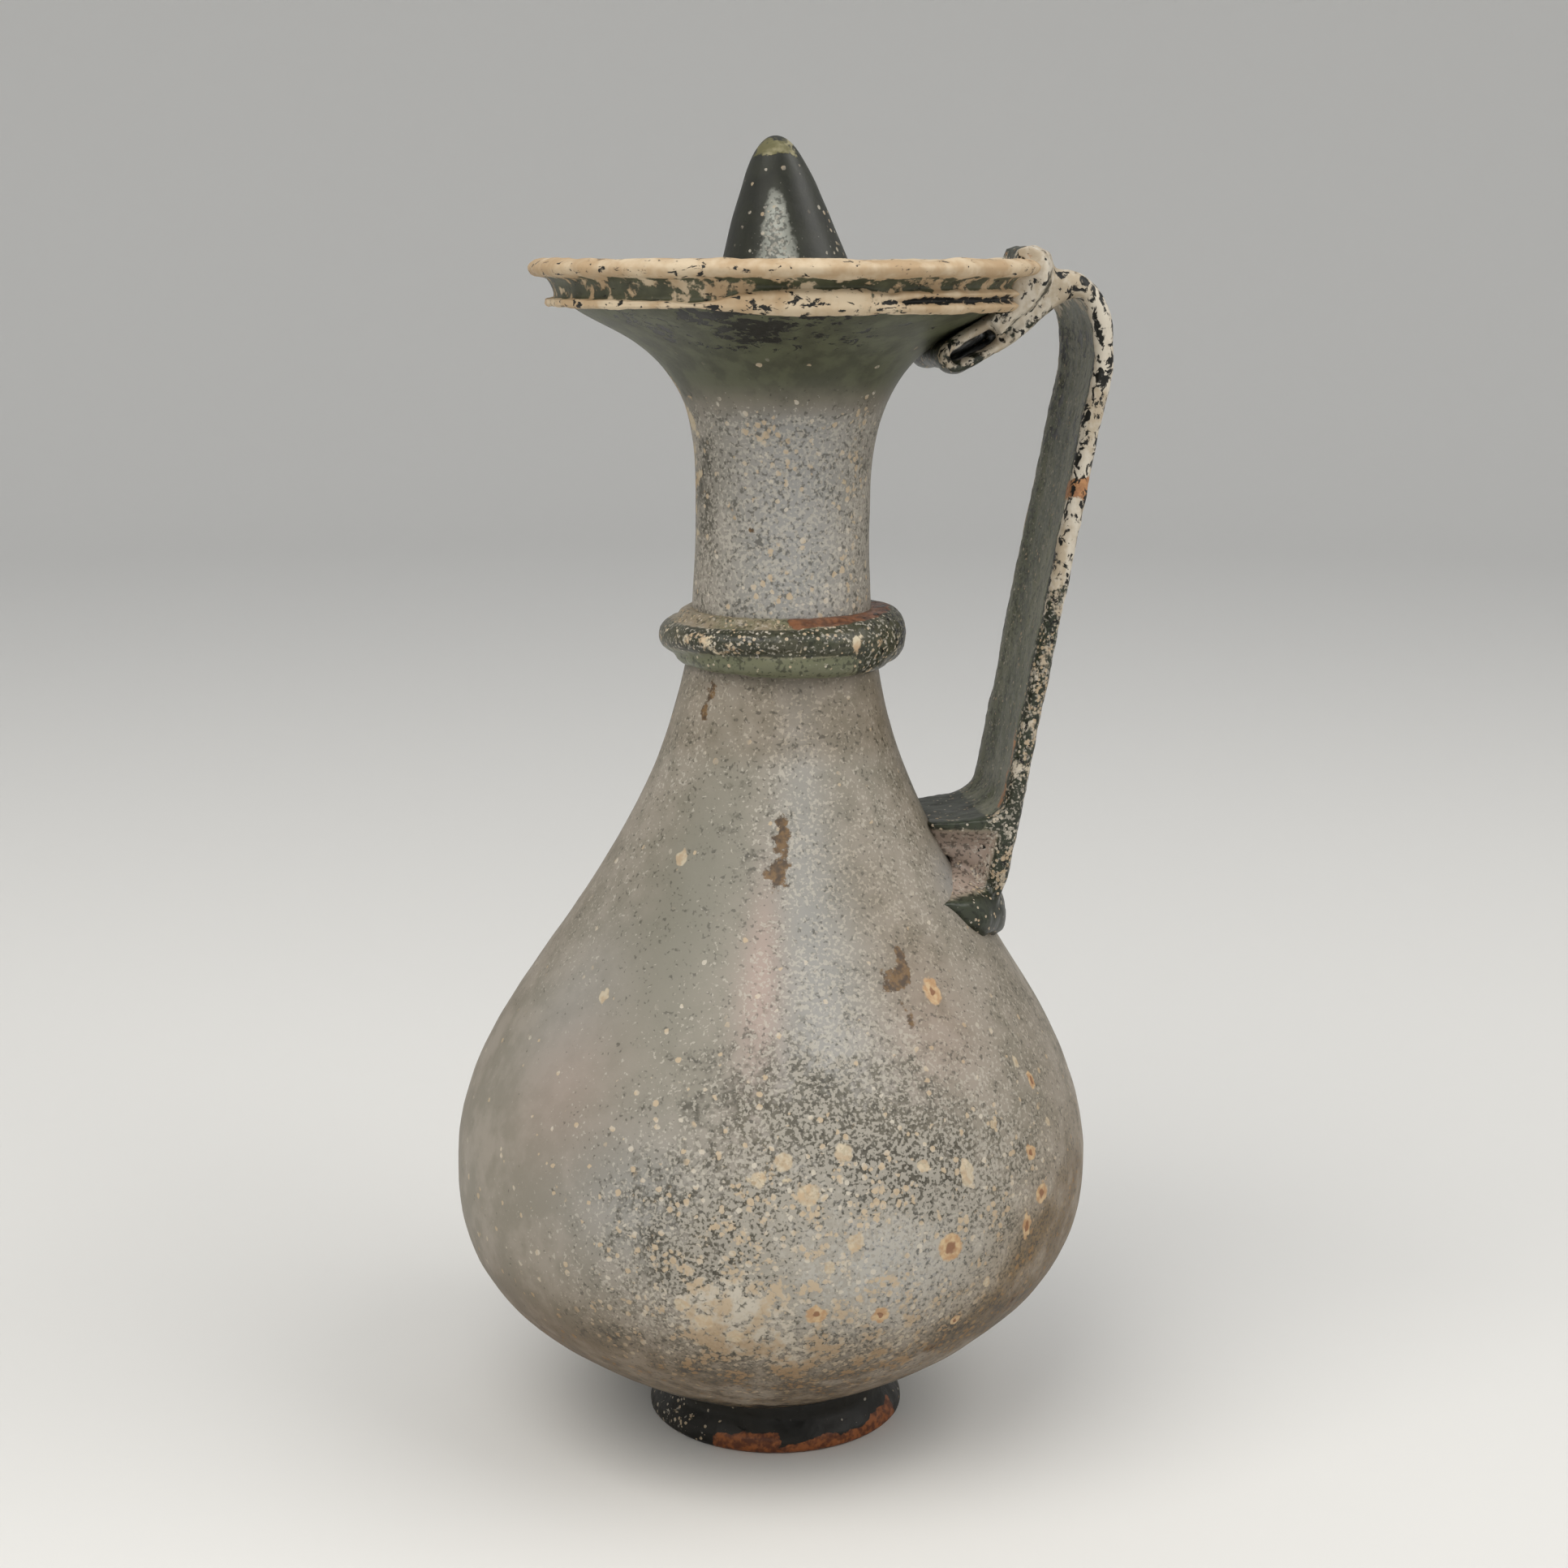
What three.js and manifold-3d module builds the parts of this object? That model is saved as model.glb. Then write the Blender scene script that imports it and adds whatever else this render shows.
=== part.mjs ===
// An ancient glass jug: a pear-shaped blown body with a tall neck and a funnel mouth,
// a trail wound round the neck, a strap handle folded at the rim, a ring foot and a loose hollow lid.
// Millimetres, +Z up, the handle towards +X.
import * as THREE from "three";
import Module from "manifold-3d";

const wasm = await Module();
wasm.setup();

// Gap between two pieces that touch, and the facets of the turned shapes.
const clearance = 0.3;
const vesselFacets = 40;
const lidFacets = 26;
const collarFacets = 30;
const collarSides = 8;
const trailSides = 6;

// Vessel, measured on its outside: radius and height at each station of the outline,
// and the angle at which the outline rises there.
const kickHeight = 14;
const kickRadius = 15.5;
const kickLowest = 6.2;
const baseRadius = 20;
const baseHeight = 7.3;
const baseRise = 26.2;
const bellyRadius = 62.6;
const bellyHeight = 54.4;
const shoulderRadius = 38;
const shoulderHeight = 107.6;
const shoulderLean = 32.4;
const neckRadius = 16.7;
const funnelDepth = 34;
const funnelRise = 40.6;

// Wall of the vessel.
const wall = 2.2;
const baseWall = 4.2;
const baseWallReach = 30;

// Rim: a rolled lip over a folded band, which is a thin ridge, a broad leaf or two ridges by turns.
const rimHeight = 230;
const rollRadius = 48.6;
const rollDepth = 3.6;
const rollWidth = 5;
const recessDepth = 4.7;
const bandInset = 3.3;
const funnelDrop = 8;
const funnelInset = 7.3;
const ridgeTop = 6.9;
const ridgeBottom = 8.6;
const leafTop = 4.8;
const leafBottom = 9.5;
const leafCentre = -3;
const leafSpread = 24;
const grooveDepth = 1.4;
const grooveCentre = 40;
const grooveSpread = 36;
const backCentre = 150;

const lipRadius = rollRadius - rollWidth;
const recessRadius = rollRadius - recessDepth;
const bandRadius = rollRadius - bandInset;
const funnelRadius = rollRadius - funnelInset;
const funnelHeight = rimHeight - funnelDrop;
const neckHeight = funnelHeight - funnelDepth;

// The body leans and sags a little to one side, as it was blown.
const leanPerHeight = 0.0185;
const plumbHeight = 190;
const sag = 1.5;
const sagReach = 30;

// Ring foot.
const footRadius = 25.8;
const footTopRadius = 23.4;
const footBore = 19.4;
const footEdge = 0.9;
const footShift = -1.8;

// Trail round the neck: a thick turn over a thin one. They stand out from the neck,
// and the thicknesses and heights are of half a turn.
const collarHeight = 158.8;
const collarStandout = 6.5;
const collarThick = 4.9;
const collarTall = 4.3;
const collarSwell = 1.3;
const collarTilt = 0.8;
const trailHeight = 154.4;
const trailStandout = 2.2;
const trailThick = 2.5;
const trailTall = 2.4;

// Strap handle: it rises from the shoulder, bends over, runs down to a fold under the funnel
// and back up over the rim, where its strand stands a little askew and ends in a thumb rest.
const strapWidth = 31;
const strapThickness = 4.3;
const strapReach = 9.4;
const strapWeb = 0.62;
const strapFootHeight = 113;
const strapStandoff = 7.2;
const webHeight = 120.4;
const webNarrowing = 0.24;
const filletHeight = 9;
const bendDrop = 19;
const crownDrop = 5.6;
const crownInset = 4;
const landingThickness = 6.6;
const foldDrop = 17.6;
const foldReach = 3;
const foldRise = 30;
const foldLength = 11;
const foldSlot = 1.4;
const foldThickness = 2.8;
const strandThickness = 2.6;
const strandWidth = 30;
const strandShift = -7;

// Pad of the handle on the shoulder, with a claw at each side and lobes below.
const padAngle = 39;
const padTop = 114.5;
const padClawHeight = 110;
const padBottom = 99.4;
const padLobe = 0.9;
const padThickness = 6;
const padClawThickness = 0.8;

// Lid: a hollow cone with a rounded tip, a little askew in the funnel.
const lidRadius = 19.6;
const lidHeight = 45.1;
const lidTipPull = 5.5;
const lidWaist = 7.5;
const lidWaistHeight = 33;
const lidWall = 1.8;
const lidEdge = 1.4;
const lidTilt = 4;
const lidShift = 1.3;

const { smoothstep, lerp, degToRad } = THREE.MathUtils;

// How far the vessel's axis is off the vertical at a height.
function lean(z) {
  return leanPerHeight * (z - plumbHeight) - sag * Math.exp(-z / sagReach);
}

// A curve between two stations of an outline, each with a radius, a height and a direction.
// How far each direction holds is a share of the height or the radius between the two.
function bow(from, to, steps) {
  const reach = Math.max(to.z - from.z, from.z - to.z, (to.r - from.r) / 2);
  const start = new THREE.Vector2(from.r, from.z);
  const end = new THREE.Vector2(to.r, to.z);
  const along = (s) => new THREE.Vector2(Math.cos(degToRad(s.rise)), Math.sin(degToRad(s.rise)));
  const leave = start.clone().addScaledVector(along(from), from.out * reach);
  const arrive = end.clone().addScaledVector(along(to), -to.in * reach);
  return new THREE.CubicBezierCurve(start, leave, arrive, end).getPoints(steps);
}

const stations = [
  { r: 0, z: kickHeight, rise: 0, out: 0.9 },
  { r: kickRadius, z: kickLowest, rise: 0, in: 0.9, out: 0.6 },
  { r: baseRadius, z: baseHeight, rise: baseRise, in: 0.6, out: 0.85 },
  { r: bellyRadius, z: bellyHeight, rise: 90, in: 0.38, out: 0.4 },
  { r: shoulderRadius, z: shoulderHeight, rise: 90 + shoulderLean, in: 0.3, out: 0.5 },
  { r: neckRadius, z: neckHeight, rise: 90, in: 0.36, out: 0.8 },
  { r: funnelRadius, z: funnelHeight, rise: funnelRise, in: 0.275 },
];

// The vessel's outline from the middle of its underside up to the rim, with so many steps a curve.
function outline(steps) {
  const points = [];
  steps.forEach((count, i) => {
    const curve = bow(stations[i], stations[i + 1], count);
    points.push(...(i ? curve.slice(1) : curve));
  });
  return points;
}

// The same outline moved along its normals: outwards where the distance is positive.
function moved(points, distanceAt) {
  return points.map((p, i) => {
    const before = points[Math.max(i - 1, 0)];
    const after = points[Math.min(i + 1, points.length - 1)];
    const along = after.clone().sub(before).normalize();
    const distance = distanceAt(p);
    const r = p.x + along.y * distance;
    return new THREE.Vector2(p.x === 0 ? 0 : Math.max(r, 0.01), p.y - along.x * distance);
  });
}

const outerSteps = [3, 1, 7, 6, 7, 6];
const innerSteps = [2, 1, 5, 4, 4, 4];
const outer = outline(outerSteps);
const wallAt = (p) => -lerp(baseWall, wall, smoothstep(p.y, baseHeight, baseWallReach));
const inner = moved(outline(innerSteps), wallAt);

// Radius of an outline that rises all the way from its lowest radius on, at a height.
function radiusAt(points, z) {
  const i = points.findIndex((p, k) => k > 0 && points[k - 1].y <= z && p.y > z);
  const [a, b] = [points[i - 1], points[i]];
  return lerp(a.x, b.x, (z - a.y) / (b.y - a.y));
}

const bodySide = outer.slice(outerSteps[0] + outerSteps[1]);
const surface = (z) => radiusAt(bodySide, z);

// One bump, 1 at its centre and 0 beyond its spread, over an angle in degrees.
function bump(angle, centre, spread) {
  const away = Math.abs(THREE.MathUtils.euclideanModulo(angle - centre + 180, 360) - 180);
  return 1 - smoothstep(away, spread * 0.45, spread);
}

// The rim's outline from the funnel's underside round to the inside of the lip.
// The angle runs from the front towards the handle.
function rimOutline(angle) {
  const leaf = bump(angle, leafCentre, leafSpread);
  const back = bump(angle, backCentre, grooveSpread);
  const double = Math.max(bump(angle, grooveCentre, grooveSpread), back);
  const broad = Math.max(leaf, double * 0.9);
  const top = rimHeight - lerp(ridgeTop, leafTop, broad);
  const bottom = rimHeight - lerp(ridgeBottom, leafBottom, broad);
  const middle = (top + bottom) / 2;
  const quarter = (top - bottom) / 4;
  const groove = grooveDepth * double * (1 - leaf);
  const rollFoot = rimHeight - rollDepth;
  const round = (rollRadius - recessRadius) / 4;
  return [
    [bandRadius - quarter * 1.2, bottom],
    [bandRadius, bottom + quarter],
    [bandRadius - groove, middle],
    [bandRadius, top - quarter],
    [recessRadius, top],
    [recessRadius + round, rollFoot],
    [rollRadius - round / 2, rollFoot + rollDepth / 4],
    [rollRadius, rollFoot + rollDepth * 0.6],
    [rollRadius - round, rimHeight - rollDepth / 12],
    [rollRadius - 2.4 * round, rimHeight],
    [lipRadius, rimHeight - rollDepth / 8],
    [lipRadius - round, rimHeight - rollDepth / 2],
  ].map(([r, z]) => new THREE.Vector2(r, z));
}

// A solid from points and faces, turned inside out where its faces point inwards.
function solidFrom(points, faces) {
  let volume = 0;
  for (let i = 0; i < faces.length; i += 3) {
    const [a, b, c] = [points[faces[i]], points[faces[i + 1]], points[faces[i + 2]]];
    volume += a.dot(b.clone().cross(c));
  }
  const triVerts = Uint32Array.from(volume < 0 ? faces.toReversed() : faces);
  const vertProperties = Float32Array.from(points.flatMap((p) => p.toArray()));
  return new wasm.Manifold(new wasm.Mesh({ numProp: 3, vertProperties, triVerts }));
}

// A solid turned round the axis, with its own outline at each angle, from the axis back to the axis.
function turned(outlineAt, facets) {
  const first = outlineAt(0);
  const between = first.length - 2;
  const points = [new THREE.Vector3(0, 0, first[0].y), new THREE.Vector3(0, 0, first.at(-1).y)];
  for (let i = 0; i < facets; i += 1) {
    const angle = (360 * i) / facets;
    const around = degToRad(angle - 90);
    for (const p of outlineAt(angle).slice(1, -1)) {
      points.push(new THREE.Vector3(p.x * Math.cos(around), p.x * Math.sin(around), p.y));
    }
  }
  const faces = [];
  for (let i = 0; i < facets; i += 1) {
    const here = 2 + i * between;
    const next = 2 + ((i + 1) % facets) * between;
    faces.push(0, here, next);
    for (let k = 0; k + 1 < between; k += 1) {
      faces.push(here + k, here + k + 1, next + k + 1);
      faces.push(here + k, next + k + 1, next + k);
    }
    faces.push(here + between - 1, 1, next + between - 1);
  }
  return solidFrom(points, faces);
}

// A solid through rings of equally many points, each end closed by a flat cap.
function loft(rings) {
  const around = rings[0].length;
  const faces = [];
  for (let i = 0; i + 1 < rings.length; i += 1) {
    for (let k = 0; k < around; k += 1) {
      const a = i * around + k;
      const b = i * around + ((k + 1) % around);
      faces.push(a, b, b + around, a, b + around, a + around);
    }
  }
  for (const [ring, first, flip] of [
    [rings[0], 0, true],
    [rings.at(-1), around * (rings.length - 1), false],
  ]) {
    const normal = new THREE.Vector3();
    ring.forEach((p, k) => normal.add(p.clone().cross(ring[(k + 1) % around])));
    const across = ring[1].clone().sub(ring[0]).normalize();
    const up = normal.clone().normalize().cross(across);
    const flat = ring.map((p) => new THREE.Vector2(p.dot(across), p.dot(up)));
    for (const [a, b, c] of THREE.ShapeUtils.triangulateShape(flat, [])) {
      const turn = flat[b].clone().sub(flat[a]).cross(flat[c].clone().sub(flat[a]));
      const [second, third] = turn > 0 !== flip ? [b, c] : [c, b];
      faces.push(first + a, first + second, first + third);
    }
  }
  return solidFrom(rings.flat(), faces);
}

// A ring wound once round the neck; its section at each angle has a centre, a thickness and a height.
function wound(sectionAt, sides) {
  const points = [];
  const faces = [];
  for (let i = 0; i < collarFacets; i += 1) {
    const angle = (360 * i) / collarFacets;
    const around = degToRad(angle - 90);
    const s = sectionAt(angle);
    for (let k = 0; k < sides; k += 1) {
      const turn = (2 * Math.PI * k) / sides;
      const r = s.r + s.thick * Math.cos(turn);
      const z = s.z + s.tall * Math.sin(turn);
      points.push(new THREE.Vector3(r * Math.cos(around), r * Math.sin(around), z));
      const next = ((i + 1) % collarFacets) * sides;
      const [a, b] = [i * sides + k, i * sides + ((k + 1) % sides)];
      const [c, d] = [next + ((k + 1) % sides), next + k];
      faces.push(a, b, c, a, c, d);
    }
  }
  return solidFrom(points, faces);
}

// Sideways lean of a solid that was built upright.
function leaned(solid) {
  return solid.warp((v) => {
    v[0] += lean(v[2]);
  });
}

function vesselSolid() {
  return leaned(
    turned((angle) => [...outer, ...rimOutline(angle), ...inner.toReversed()], vesselFacets),
  );
}

// The vessel's outside with the clearance added and filled up: what its neighbours are cut by.
function vesselKeepOut() {
  const grown = (angle) => {
    const skin = moved([...outer, ...rimOutline(angle)], () => clearance);
    return [...skin, new THREE.Vector2(0, rimHeight + clearance)];
  };
  return leaned(turned(grown, vesselFacets));
}

function footSolid() {
  const inside = baseHeight + wall;
  const profile = [
    [footBore + footEdge, 0],
    [footRadius - footEdge, 0],
    [footRadius, footEdge],
    [footRadius - footEdge / 3, baseHeight * 0.4],
    [footTopRadius, baseHeight * 0.85],
    [footTopRadius, inside],
    [footBore - footEdge, inside],
    [footBore, footEdge],
    [footBore + footEdge, 0],
  ].map(([r, z]) => new THREE.Vector2(r, z));
  const lathe = new THREE.LatheGeometry(profile, vesselFacets).rotateX(Math.PI / 2);
  const place = new THREE.Matrix4().makeTranslation(footShift, 0, 0);
  return solidOfGeometry(lathe.applyMatrix4(place));
}

// A closed three.js geometry as a solid, with its doubled points merged.
function solidOfGeometry(geometry) {
  const at = geometry.getAttribute("position");
  const seen = new Map();
  const points = [];
  const faces = [];
  for (let i = 0; i < geometry.index.count; i += 1) {
    const p = new THREE.Vector3().fromBufferAttribute(at, geometry.index.getX(i));
    const key = p.toArray().map((v) => Math.round(v * 1e4)).join();
    if (!seen.has(key)) seen.set(key, points.push(p) - 1);
    faces.push(seen.get(key));
  }
  const kept = [];
  for (let i = 0; i < faces.length; i += 3) {
    const [a, b, c] = faces.slice(i, i + 3);
    if (a !== b && b !== c && c !== a) kept.push(a, b, c);
  }
  return solidFrom(points, kept);
}

function collarSolid() {
  const towardsHandle = (angle) => Math.sin(degToRad(angle));
  const thickTurn = wound((angle) => {
    const swell = collarSwell * (0.5 + 0.5 * towardsHandle(angle));
    return {
      r: surface(collarHeight) + collarStandout - collarThick,
      z: collarHeight + collarTilt * towardsHandle(angle),
      thick: collarThick,
      tall: collarTall + swell,
    };
  }, collarSides);
  const thinTurn = wound(
    (angle) => ({
      r: surface(trailHeight) + trailStandout - trailThick,
      z: trailHeight + (collarTilt / 2) * towardsHandle(angle),
      thick: trailThick,
      tall: trailTall,
    }),
    trailSides,
  );
  return leaned(thickTurn.add(thinTurn));
}

// Stations of the strap's middle line in the plane of the handle, each with its thickness.
function strapStations() {
  const rimX = rollRadius + lean(rimHeight);
  const onShoulder = (z) => surface(z) + lean(z);
  const at = (x, z, thickness) => new THREE.Vector3(x, z, thickness);
  const root = at(onShoulder(padBottom) - strapThickness, padBottom + padThickness, strapThickness);
  const foot = at(onShoulder(strapFootHeight) + strapStandoff, strapFootHeight, strapThickness);
  const bend = at(rimX + strapReach, rimHeight - bendDrop, strapThickness);
  const webShare = (webHeight - strapFootHeight) / (bend.y - foot.y);
  const filletShare = filletHeight / (bend.y - foot.y);
  const rising = [0, webShare / 2, webShare, webShare + filletShare / 5, webShare + filletShare / 2];
  rising.push(webShare + filletShare, 0.5);
  const straight = rising.map((share) => foot.clone().lerp(bend, share));

  const foldAlong = new THREE.Vector2(Math.cos(degToRad(foldRise)), Math.sin(degToRad(foldRise)));
  const foldHeight = rimHeight - foldDrop;
  const foldX = onShoulder(foldHeight) + foldReach;
  const half = (foldSlot + foldThickness) / 2;
  const nearFold = (along, up) => {
    const x = foldX + along * foldAlong.x - up * foldAlong.y;
    const z = foldHeight + along * foldAlong.y + up * foldAlong.x;
    return at(x, z, foldThickness);
  };
  const turn = [-90, -130, -180, -230, -270].map((angle) => {
    const around = degToRad(angle);
    return nearFold(half * Math.cos(around), half * Math.sin(around));
  });
  const crown = at(bend.x - crownInset, rimHeight - crownDrop, strapThickness);
  const landing = at(rimX + strandThickness / 4, crown.y + strandThickness / 4, landingThickness);
  const lower = nearFold(foldLength, -half);
  lower.y -= foldSlot / 2;
  const over = new THREE.CatmullRomCurve3([
    foot.clone().lerp(bend, 0.86),
    bend,
    at(bend.x - crownInset * 0.2, lerp(bend.y, crown.y, 0.65), strapThickness),
    crown,
    landing,
    at(lerp(landing.x, lower.x, 0.5), lerp(landing.y, lower.y, 0.56), strapThickness * 0.85),
    lower,
    turn[0],
  ]);
  return [root, ...straight, ...over.getPoints(14), ...turn.slice(1), nearFold(foldLength, half)];
}

// The strap's section: three ribs outside and two inside, as shares of its half width and thickness.
const ribs = [
  [-1, 0],
  [-0.93, 0.4],
  [-0.78, 0.5],
  [-0.42, strapWeb / 2],
  [0, 0.5],
  [0.42, strapWeb / 2],
  [0.78, 0.5],
  [0.93, 0.4],
  [1, 0],
  [0.93, -0.4],
  [0.78, -0.5],
  [0.4, -strapWeb / 2],
  [-0.4, -strapWeb / 2],
  [-0.78, -0.5],
  [-0.93, -0.4],
];

function strapSolid() {
  const line = strapStations();
  const bendHeight = rimHeight - bendDrop;
  const rings = line.map((station, i) => {
    const before = line[Math.max(i - 1, 0)];
    const after = line[Math.min(i + 1, line.length - 1)];
    const along = new THREE.Vector2(after.x - before.x, after.y - before.y).normalize();
    const rising = i < line.length / 2 && station.y < bendHeight;
    const share = THREE.MathUtils.clamp(1 - (station.y - webHeight) / filletHeight, 0, 1) ** 4;
    const gap = station.x - surface(Math.min(station.y, neckHeight)) - lean(station.y) + wall / 2;
    const fillet = rising ? share * gap : 0;
    const narrowing = rising ? webNarrowing * share : 0;
    const inward = THREE.MathUtils.clamp((rollRadius - station.x) / (rollRadius - neckRadius), 0, 1);
    const shift = rising ? 0 : strandShift * inward;
    return ribs.map(([across, deep]) => {
      const depth = deep * station.z - (deep < 0 ? fillet : 0);
      const half = (strapWidth / 2) * (deep < 0 ? 1 - narrowing : 1);
      const [x, z] = [station.x + along.y * depth, station.y - along.x * depth];
      return new THREE.Vector3(x, across * half + shift, z);
    });
  });
  return loft(rings);
}

// The strand that runs up from the fold and over the rim, where it ends in a thumb rest.
// It lies flat below and follows the rim's curve above.
function strandSolid() {
  const t = strandThickness;
  const start = rimHeight - foldDrop + foldLength * Math.sin(degToRad(foldRise));
  const startRadius = surface(start);
  const section = [
    [startRadius + t * 0.9, start - t * 0.7],
    [bandRadius - t * 0.6, rimHeight - leafBottom - t * 0.6],
    [bandRadius + t * 0.75, rimHeight - leafBottom + t * 0.3],
    [rollRadius + t * 0.5, rimHeight - rollDepth - t * 0.4],
    [rollRadius + t * 0.55, rimHeight - rollDepth / 3],
    [rollRadius + t * 0.2, rimHeight + t * 0.5],
    [rollRadius - t * 0.9, rimHeight + t],
    [lipRadius + t * 0.2, rimHeight + t * 0.75],
    [lipRadius - t * 0.2, rimHeight - rollDepth / 8],
    [recessRadius, rimHeight - rollDepth],
    [startRadius, start + wall / 2],
  ];
  const cuts = 7;
  const rings = [];
  for (let i = 0; i <= cuts; i += 1) {
    const y = strandShift + strandWidth * (i / cuts - 0.5);
    rings.push(
      section.map(([r, z]) => {
        const wrap = smoothstep(r, startRadius, bandRadius);
        const x = Math.sqrt(r ** 2 - (wrap * y) ** 2);
        return new THREE.Vector3(x + lean(z), y, z);
      }),
    );
  }
  return loft(rings);
}

// The pad pressed on the shoulder. Its lower edge has a lobe at each side, its ends thin out to claws.
function padSolid() {
  const rings = [];
  const cuts = 12;
  const place = (z, angle, depth) => {
    const rise = (surface(z + 1) - surface(z - 1)) / 2;
    const steep = Math.hypot(1, rise);
    const r = surface(z) + depth / steep;
    const around = degToRad(angle);
    const height = z - (depth * rise) / steep;
    return new THREE.Vector3(r * Math.cos(around) + lean(z), r * Math.sin(around), height);
  };
  for (let i = 0; i <= cuts; i += 1) {
    const u = (2 * i) / cuts - 1;
    const side = Math.abs(u);
    const claw = smoothstep(side, 0.6, 1);
    const lobes = padLobe * (1 + Math.cos((2 * Math.PI * side) / 0.6)) * (1 - claw);
    const bottom = lerp(padBottom, padClawHeight - padClawThickness, claw) + lobes;
    const top = lerp(padTop, padClawHeight, Math.min(side * 1.1, 1) ** 2);
    const thickness = lerp(padThickness, padClawThickness, side ** 2.2);
    const angle = u * padAngle;
    rings.push(
      [
        [0, -1],
        [0, 0.35],
        [0.22, 0.9],
        [0.5, 1],
        [0.8, 0.75],
        [1, 0.2],
        [1, -1],
      ].map(([up, deep]) => {
        const depth = deep < 0 ? -wall / 2 : deep * thickness;
        return place(lerp(bottom, top, up), angle, depth);
      }),
    );
  }
  return loft(rings);
}

// The lid's outline outside and inside, from its tip to its rolled edge, its edge at height 0.
function lidOutline() {
  const curve = new THREE.CubicBezierCurve(
    new THREE.Vector2(0, lidHeight),
    new THREE.Vector2(lidTipPull, lidHeight),
    new THREE.Vector2(lidWaist, lidWaistHeight),
    new THREE.Vector2(lidRadius - lidEdge, lidEdge * 2),
  );
  const skin = curve.getPoints(9);
  const edge = [];
  for (const turn of [60, 0, -60, -120, -180]) {
    const around = degToRad(turn);
    const r = lidRadius - lidEdge + lidEdge * Math.cos(around);
    edge.push(new THREE.Vector2(r, lidEdge + lidEdge * Math.sin(around)));
  }
  const hollow = moved(curve.getPoints(6), () => lidWall).slice(0, -1);
  return [...skin.slice(0, -1), ...edge, ...hollow.toReversed()];
}

// The lid askew in the funnel, let down until its edge comes within the clearance of the wall.
function lidSolid() {
  const profile = lidOutline();
  const tilt = new THREE.Matrix4().makeRotationY(-degToRad(lidTilt));
  const funnel = inner.slice(innerSteps.slice(0, 5).reduce((a, b) => a + b));
  const restAt = (r) => {
    const i = funnel.findIndex((p) => p.x > r);
    const [a, b] = [funnel[i - 1], funnel[i]];
    return lerp(a.y, b.y, (r - a.x) / (b.x - a.x));
  };
  const shift = lean(rimHeight - foldDrop) + lidShift;
  let lift = 0;
  for (const p of profile.filter((q) => q.y <= lidEdge)) {
    for (let i = 0; i < lidFacets; i += 1) {
      const around = (2 * Math.PI * i) / lidFacets;
      const at = new THREE.Vector3(p.x * Math.cos(around), p.x * Math.sin(around), p.y);
      at.applyMatrix4(tilt);
      const off = Math.hypot(at.x + lidShift, at.y);
      lift = Math.max(lift, restAt(off + 2 * clearance) - at.z);
    }
  }
  const place = new THREE.Matrix4().makeTranslation(shift, 0, lift).multiply(tilt);
  return turned(() => profile, lidFacets).transform(place.elements);
}

function mesh(name, solid, material) {
  const made = solid.getMesh();
  const geometry = new THREE.BufferGeometry();
  geometry.setAttribute("position", new THREE.BufferAttribute(made.vertProperties, made.numProp));
  geometry.setIndex(new THREE.BufferAttribute(made.triVerts, 1));
  geometry.computeVertexNormals();
  const piece = new THREE.Mesh(geometry, material);
  piece.name = name;
  return piece;
}

function glass(color, roughness) {
  return new THREE.MeshStandardMaterial({ color, roughness, metalness: 0 });
}

const keepOut = vesselKeepOut();
const handle = strapSolid().add(strandSolid()).add(padSolid()).subtract(keepOut);

const jug = new THREE.Group();
jug.add(
  mesh("vessel", vesselSolid(), glass(0x9d9c8d, 0.55)),
  mesh("neck_collar", collarSolid().subtract(keepOut), glass(0x5d6350, 0.5)),
  mesh("handle", handle, glass(0x3d4a3c, 0.5)),
  mesh("foot_ring", footSolid().subtract(keepOut), glass(0x2c2a20, 0.6)),
  mesh("lid", lidSolid(), glass(0x3a3f24, 0.35)),
);

// The origin is the middle of the jug's box on the surface that it stands on.
const centre = new THREE.Box3().setFromObject(jug).getCenter(new THREE.Vector3());
jug.position.set(-centre.x, -centre.y, 0);

export default jug;
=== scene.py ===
import math

import bmesh
import bpy
import numpy as np
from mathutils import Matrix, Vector, noise


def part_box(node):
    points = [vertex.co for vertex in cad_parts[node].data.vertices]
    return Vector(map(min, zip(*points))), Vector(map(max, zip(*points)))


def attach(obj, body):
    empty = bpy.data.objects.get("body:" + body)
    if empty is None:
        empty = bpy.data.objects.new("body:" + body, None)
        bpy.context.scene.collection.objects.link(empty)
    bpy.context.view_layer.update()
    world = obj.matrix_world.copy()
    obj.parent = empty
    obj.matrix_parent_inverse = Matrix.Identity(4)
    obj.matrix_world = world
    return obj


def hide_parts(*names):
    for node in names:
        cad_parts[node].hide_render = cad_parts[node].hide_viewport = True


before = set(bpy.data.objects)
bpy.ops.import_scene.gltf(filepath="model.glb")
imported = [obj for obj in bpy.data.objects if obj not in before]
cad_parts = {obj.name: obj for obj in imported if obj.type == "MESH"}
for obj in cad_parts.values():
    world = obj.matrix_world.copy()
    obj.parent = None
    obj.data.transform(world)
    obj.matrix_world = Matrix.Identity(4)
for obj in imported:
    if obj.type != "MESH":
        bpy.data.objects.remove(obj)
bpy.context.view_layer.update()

# Sizes in millimetres, as the solids have them.
KICK_HEIGHT, KICK_RADIUS, KICK_LOWEST = 14, 15.5, 6.2
BASE_RADIUS, BASE_HEIGHT, BASE_RISE = 20, 7.3, 26.2
BELLY_RADIUS, BELLY_HEIGHT = 62.6, 54.4
SHOULDER_RADIUS, SHOULDER_HEIGHT, SHOULDER_LEAN = 38, 107.6, 32.4
NECK_RADIUS, NECK_HEIGHT = 16.7, 188
FUNNEL_RADIUS, FUNNEL_HEIGHT, FUNNEL_RISE = 41.3, 222, 40.6
WALL, BASE_WALL, BASE_WALL_REACH = 2.2, 4.2, 30
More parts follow.
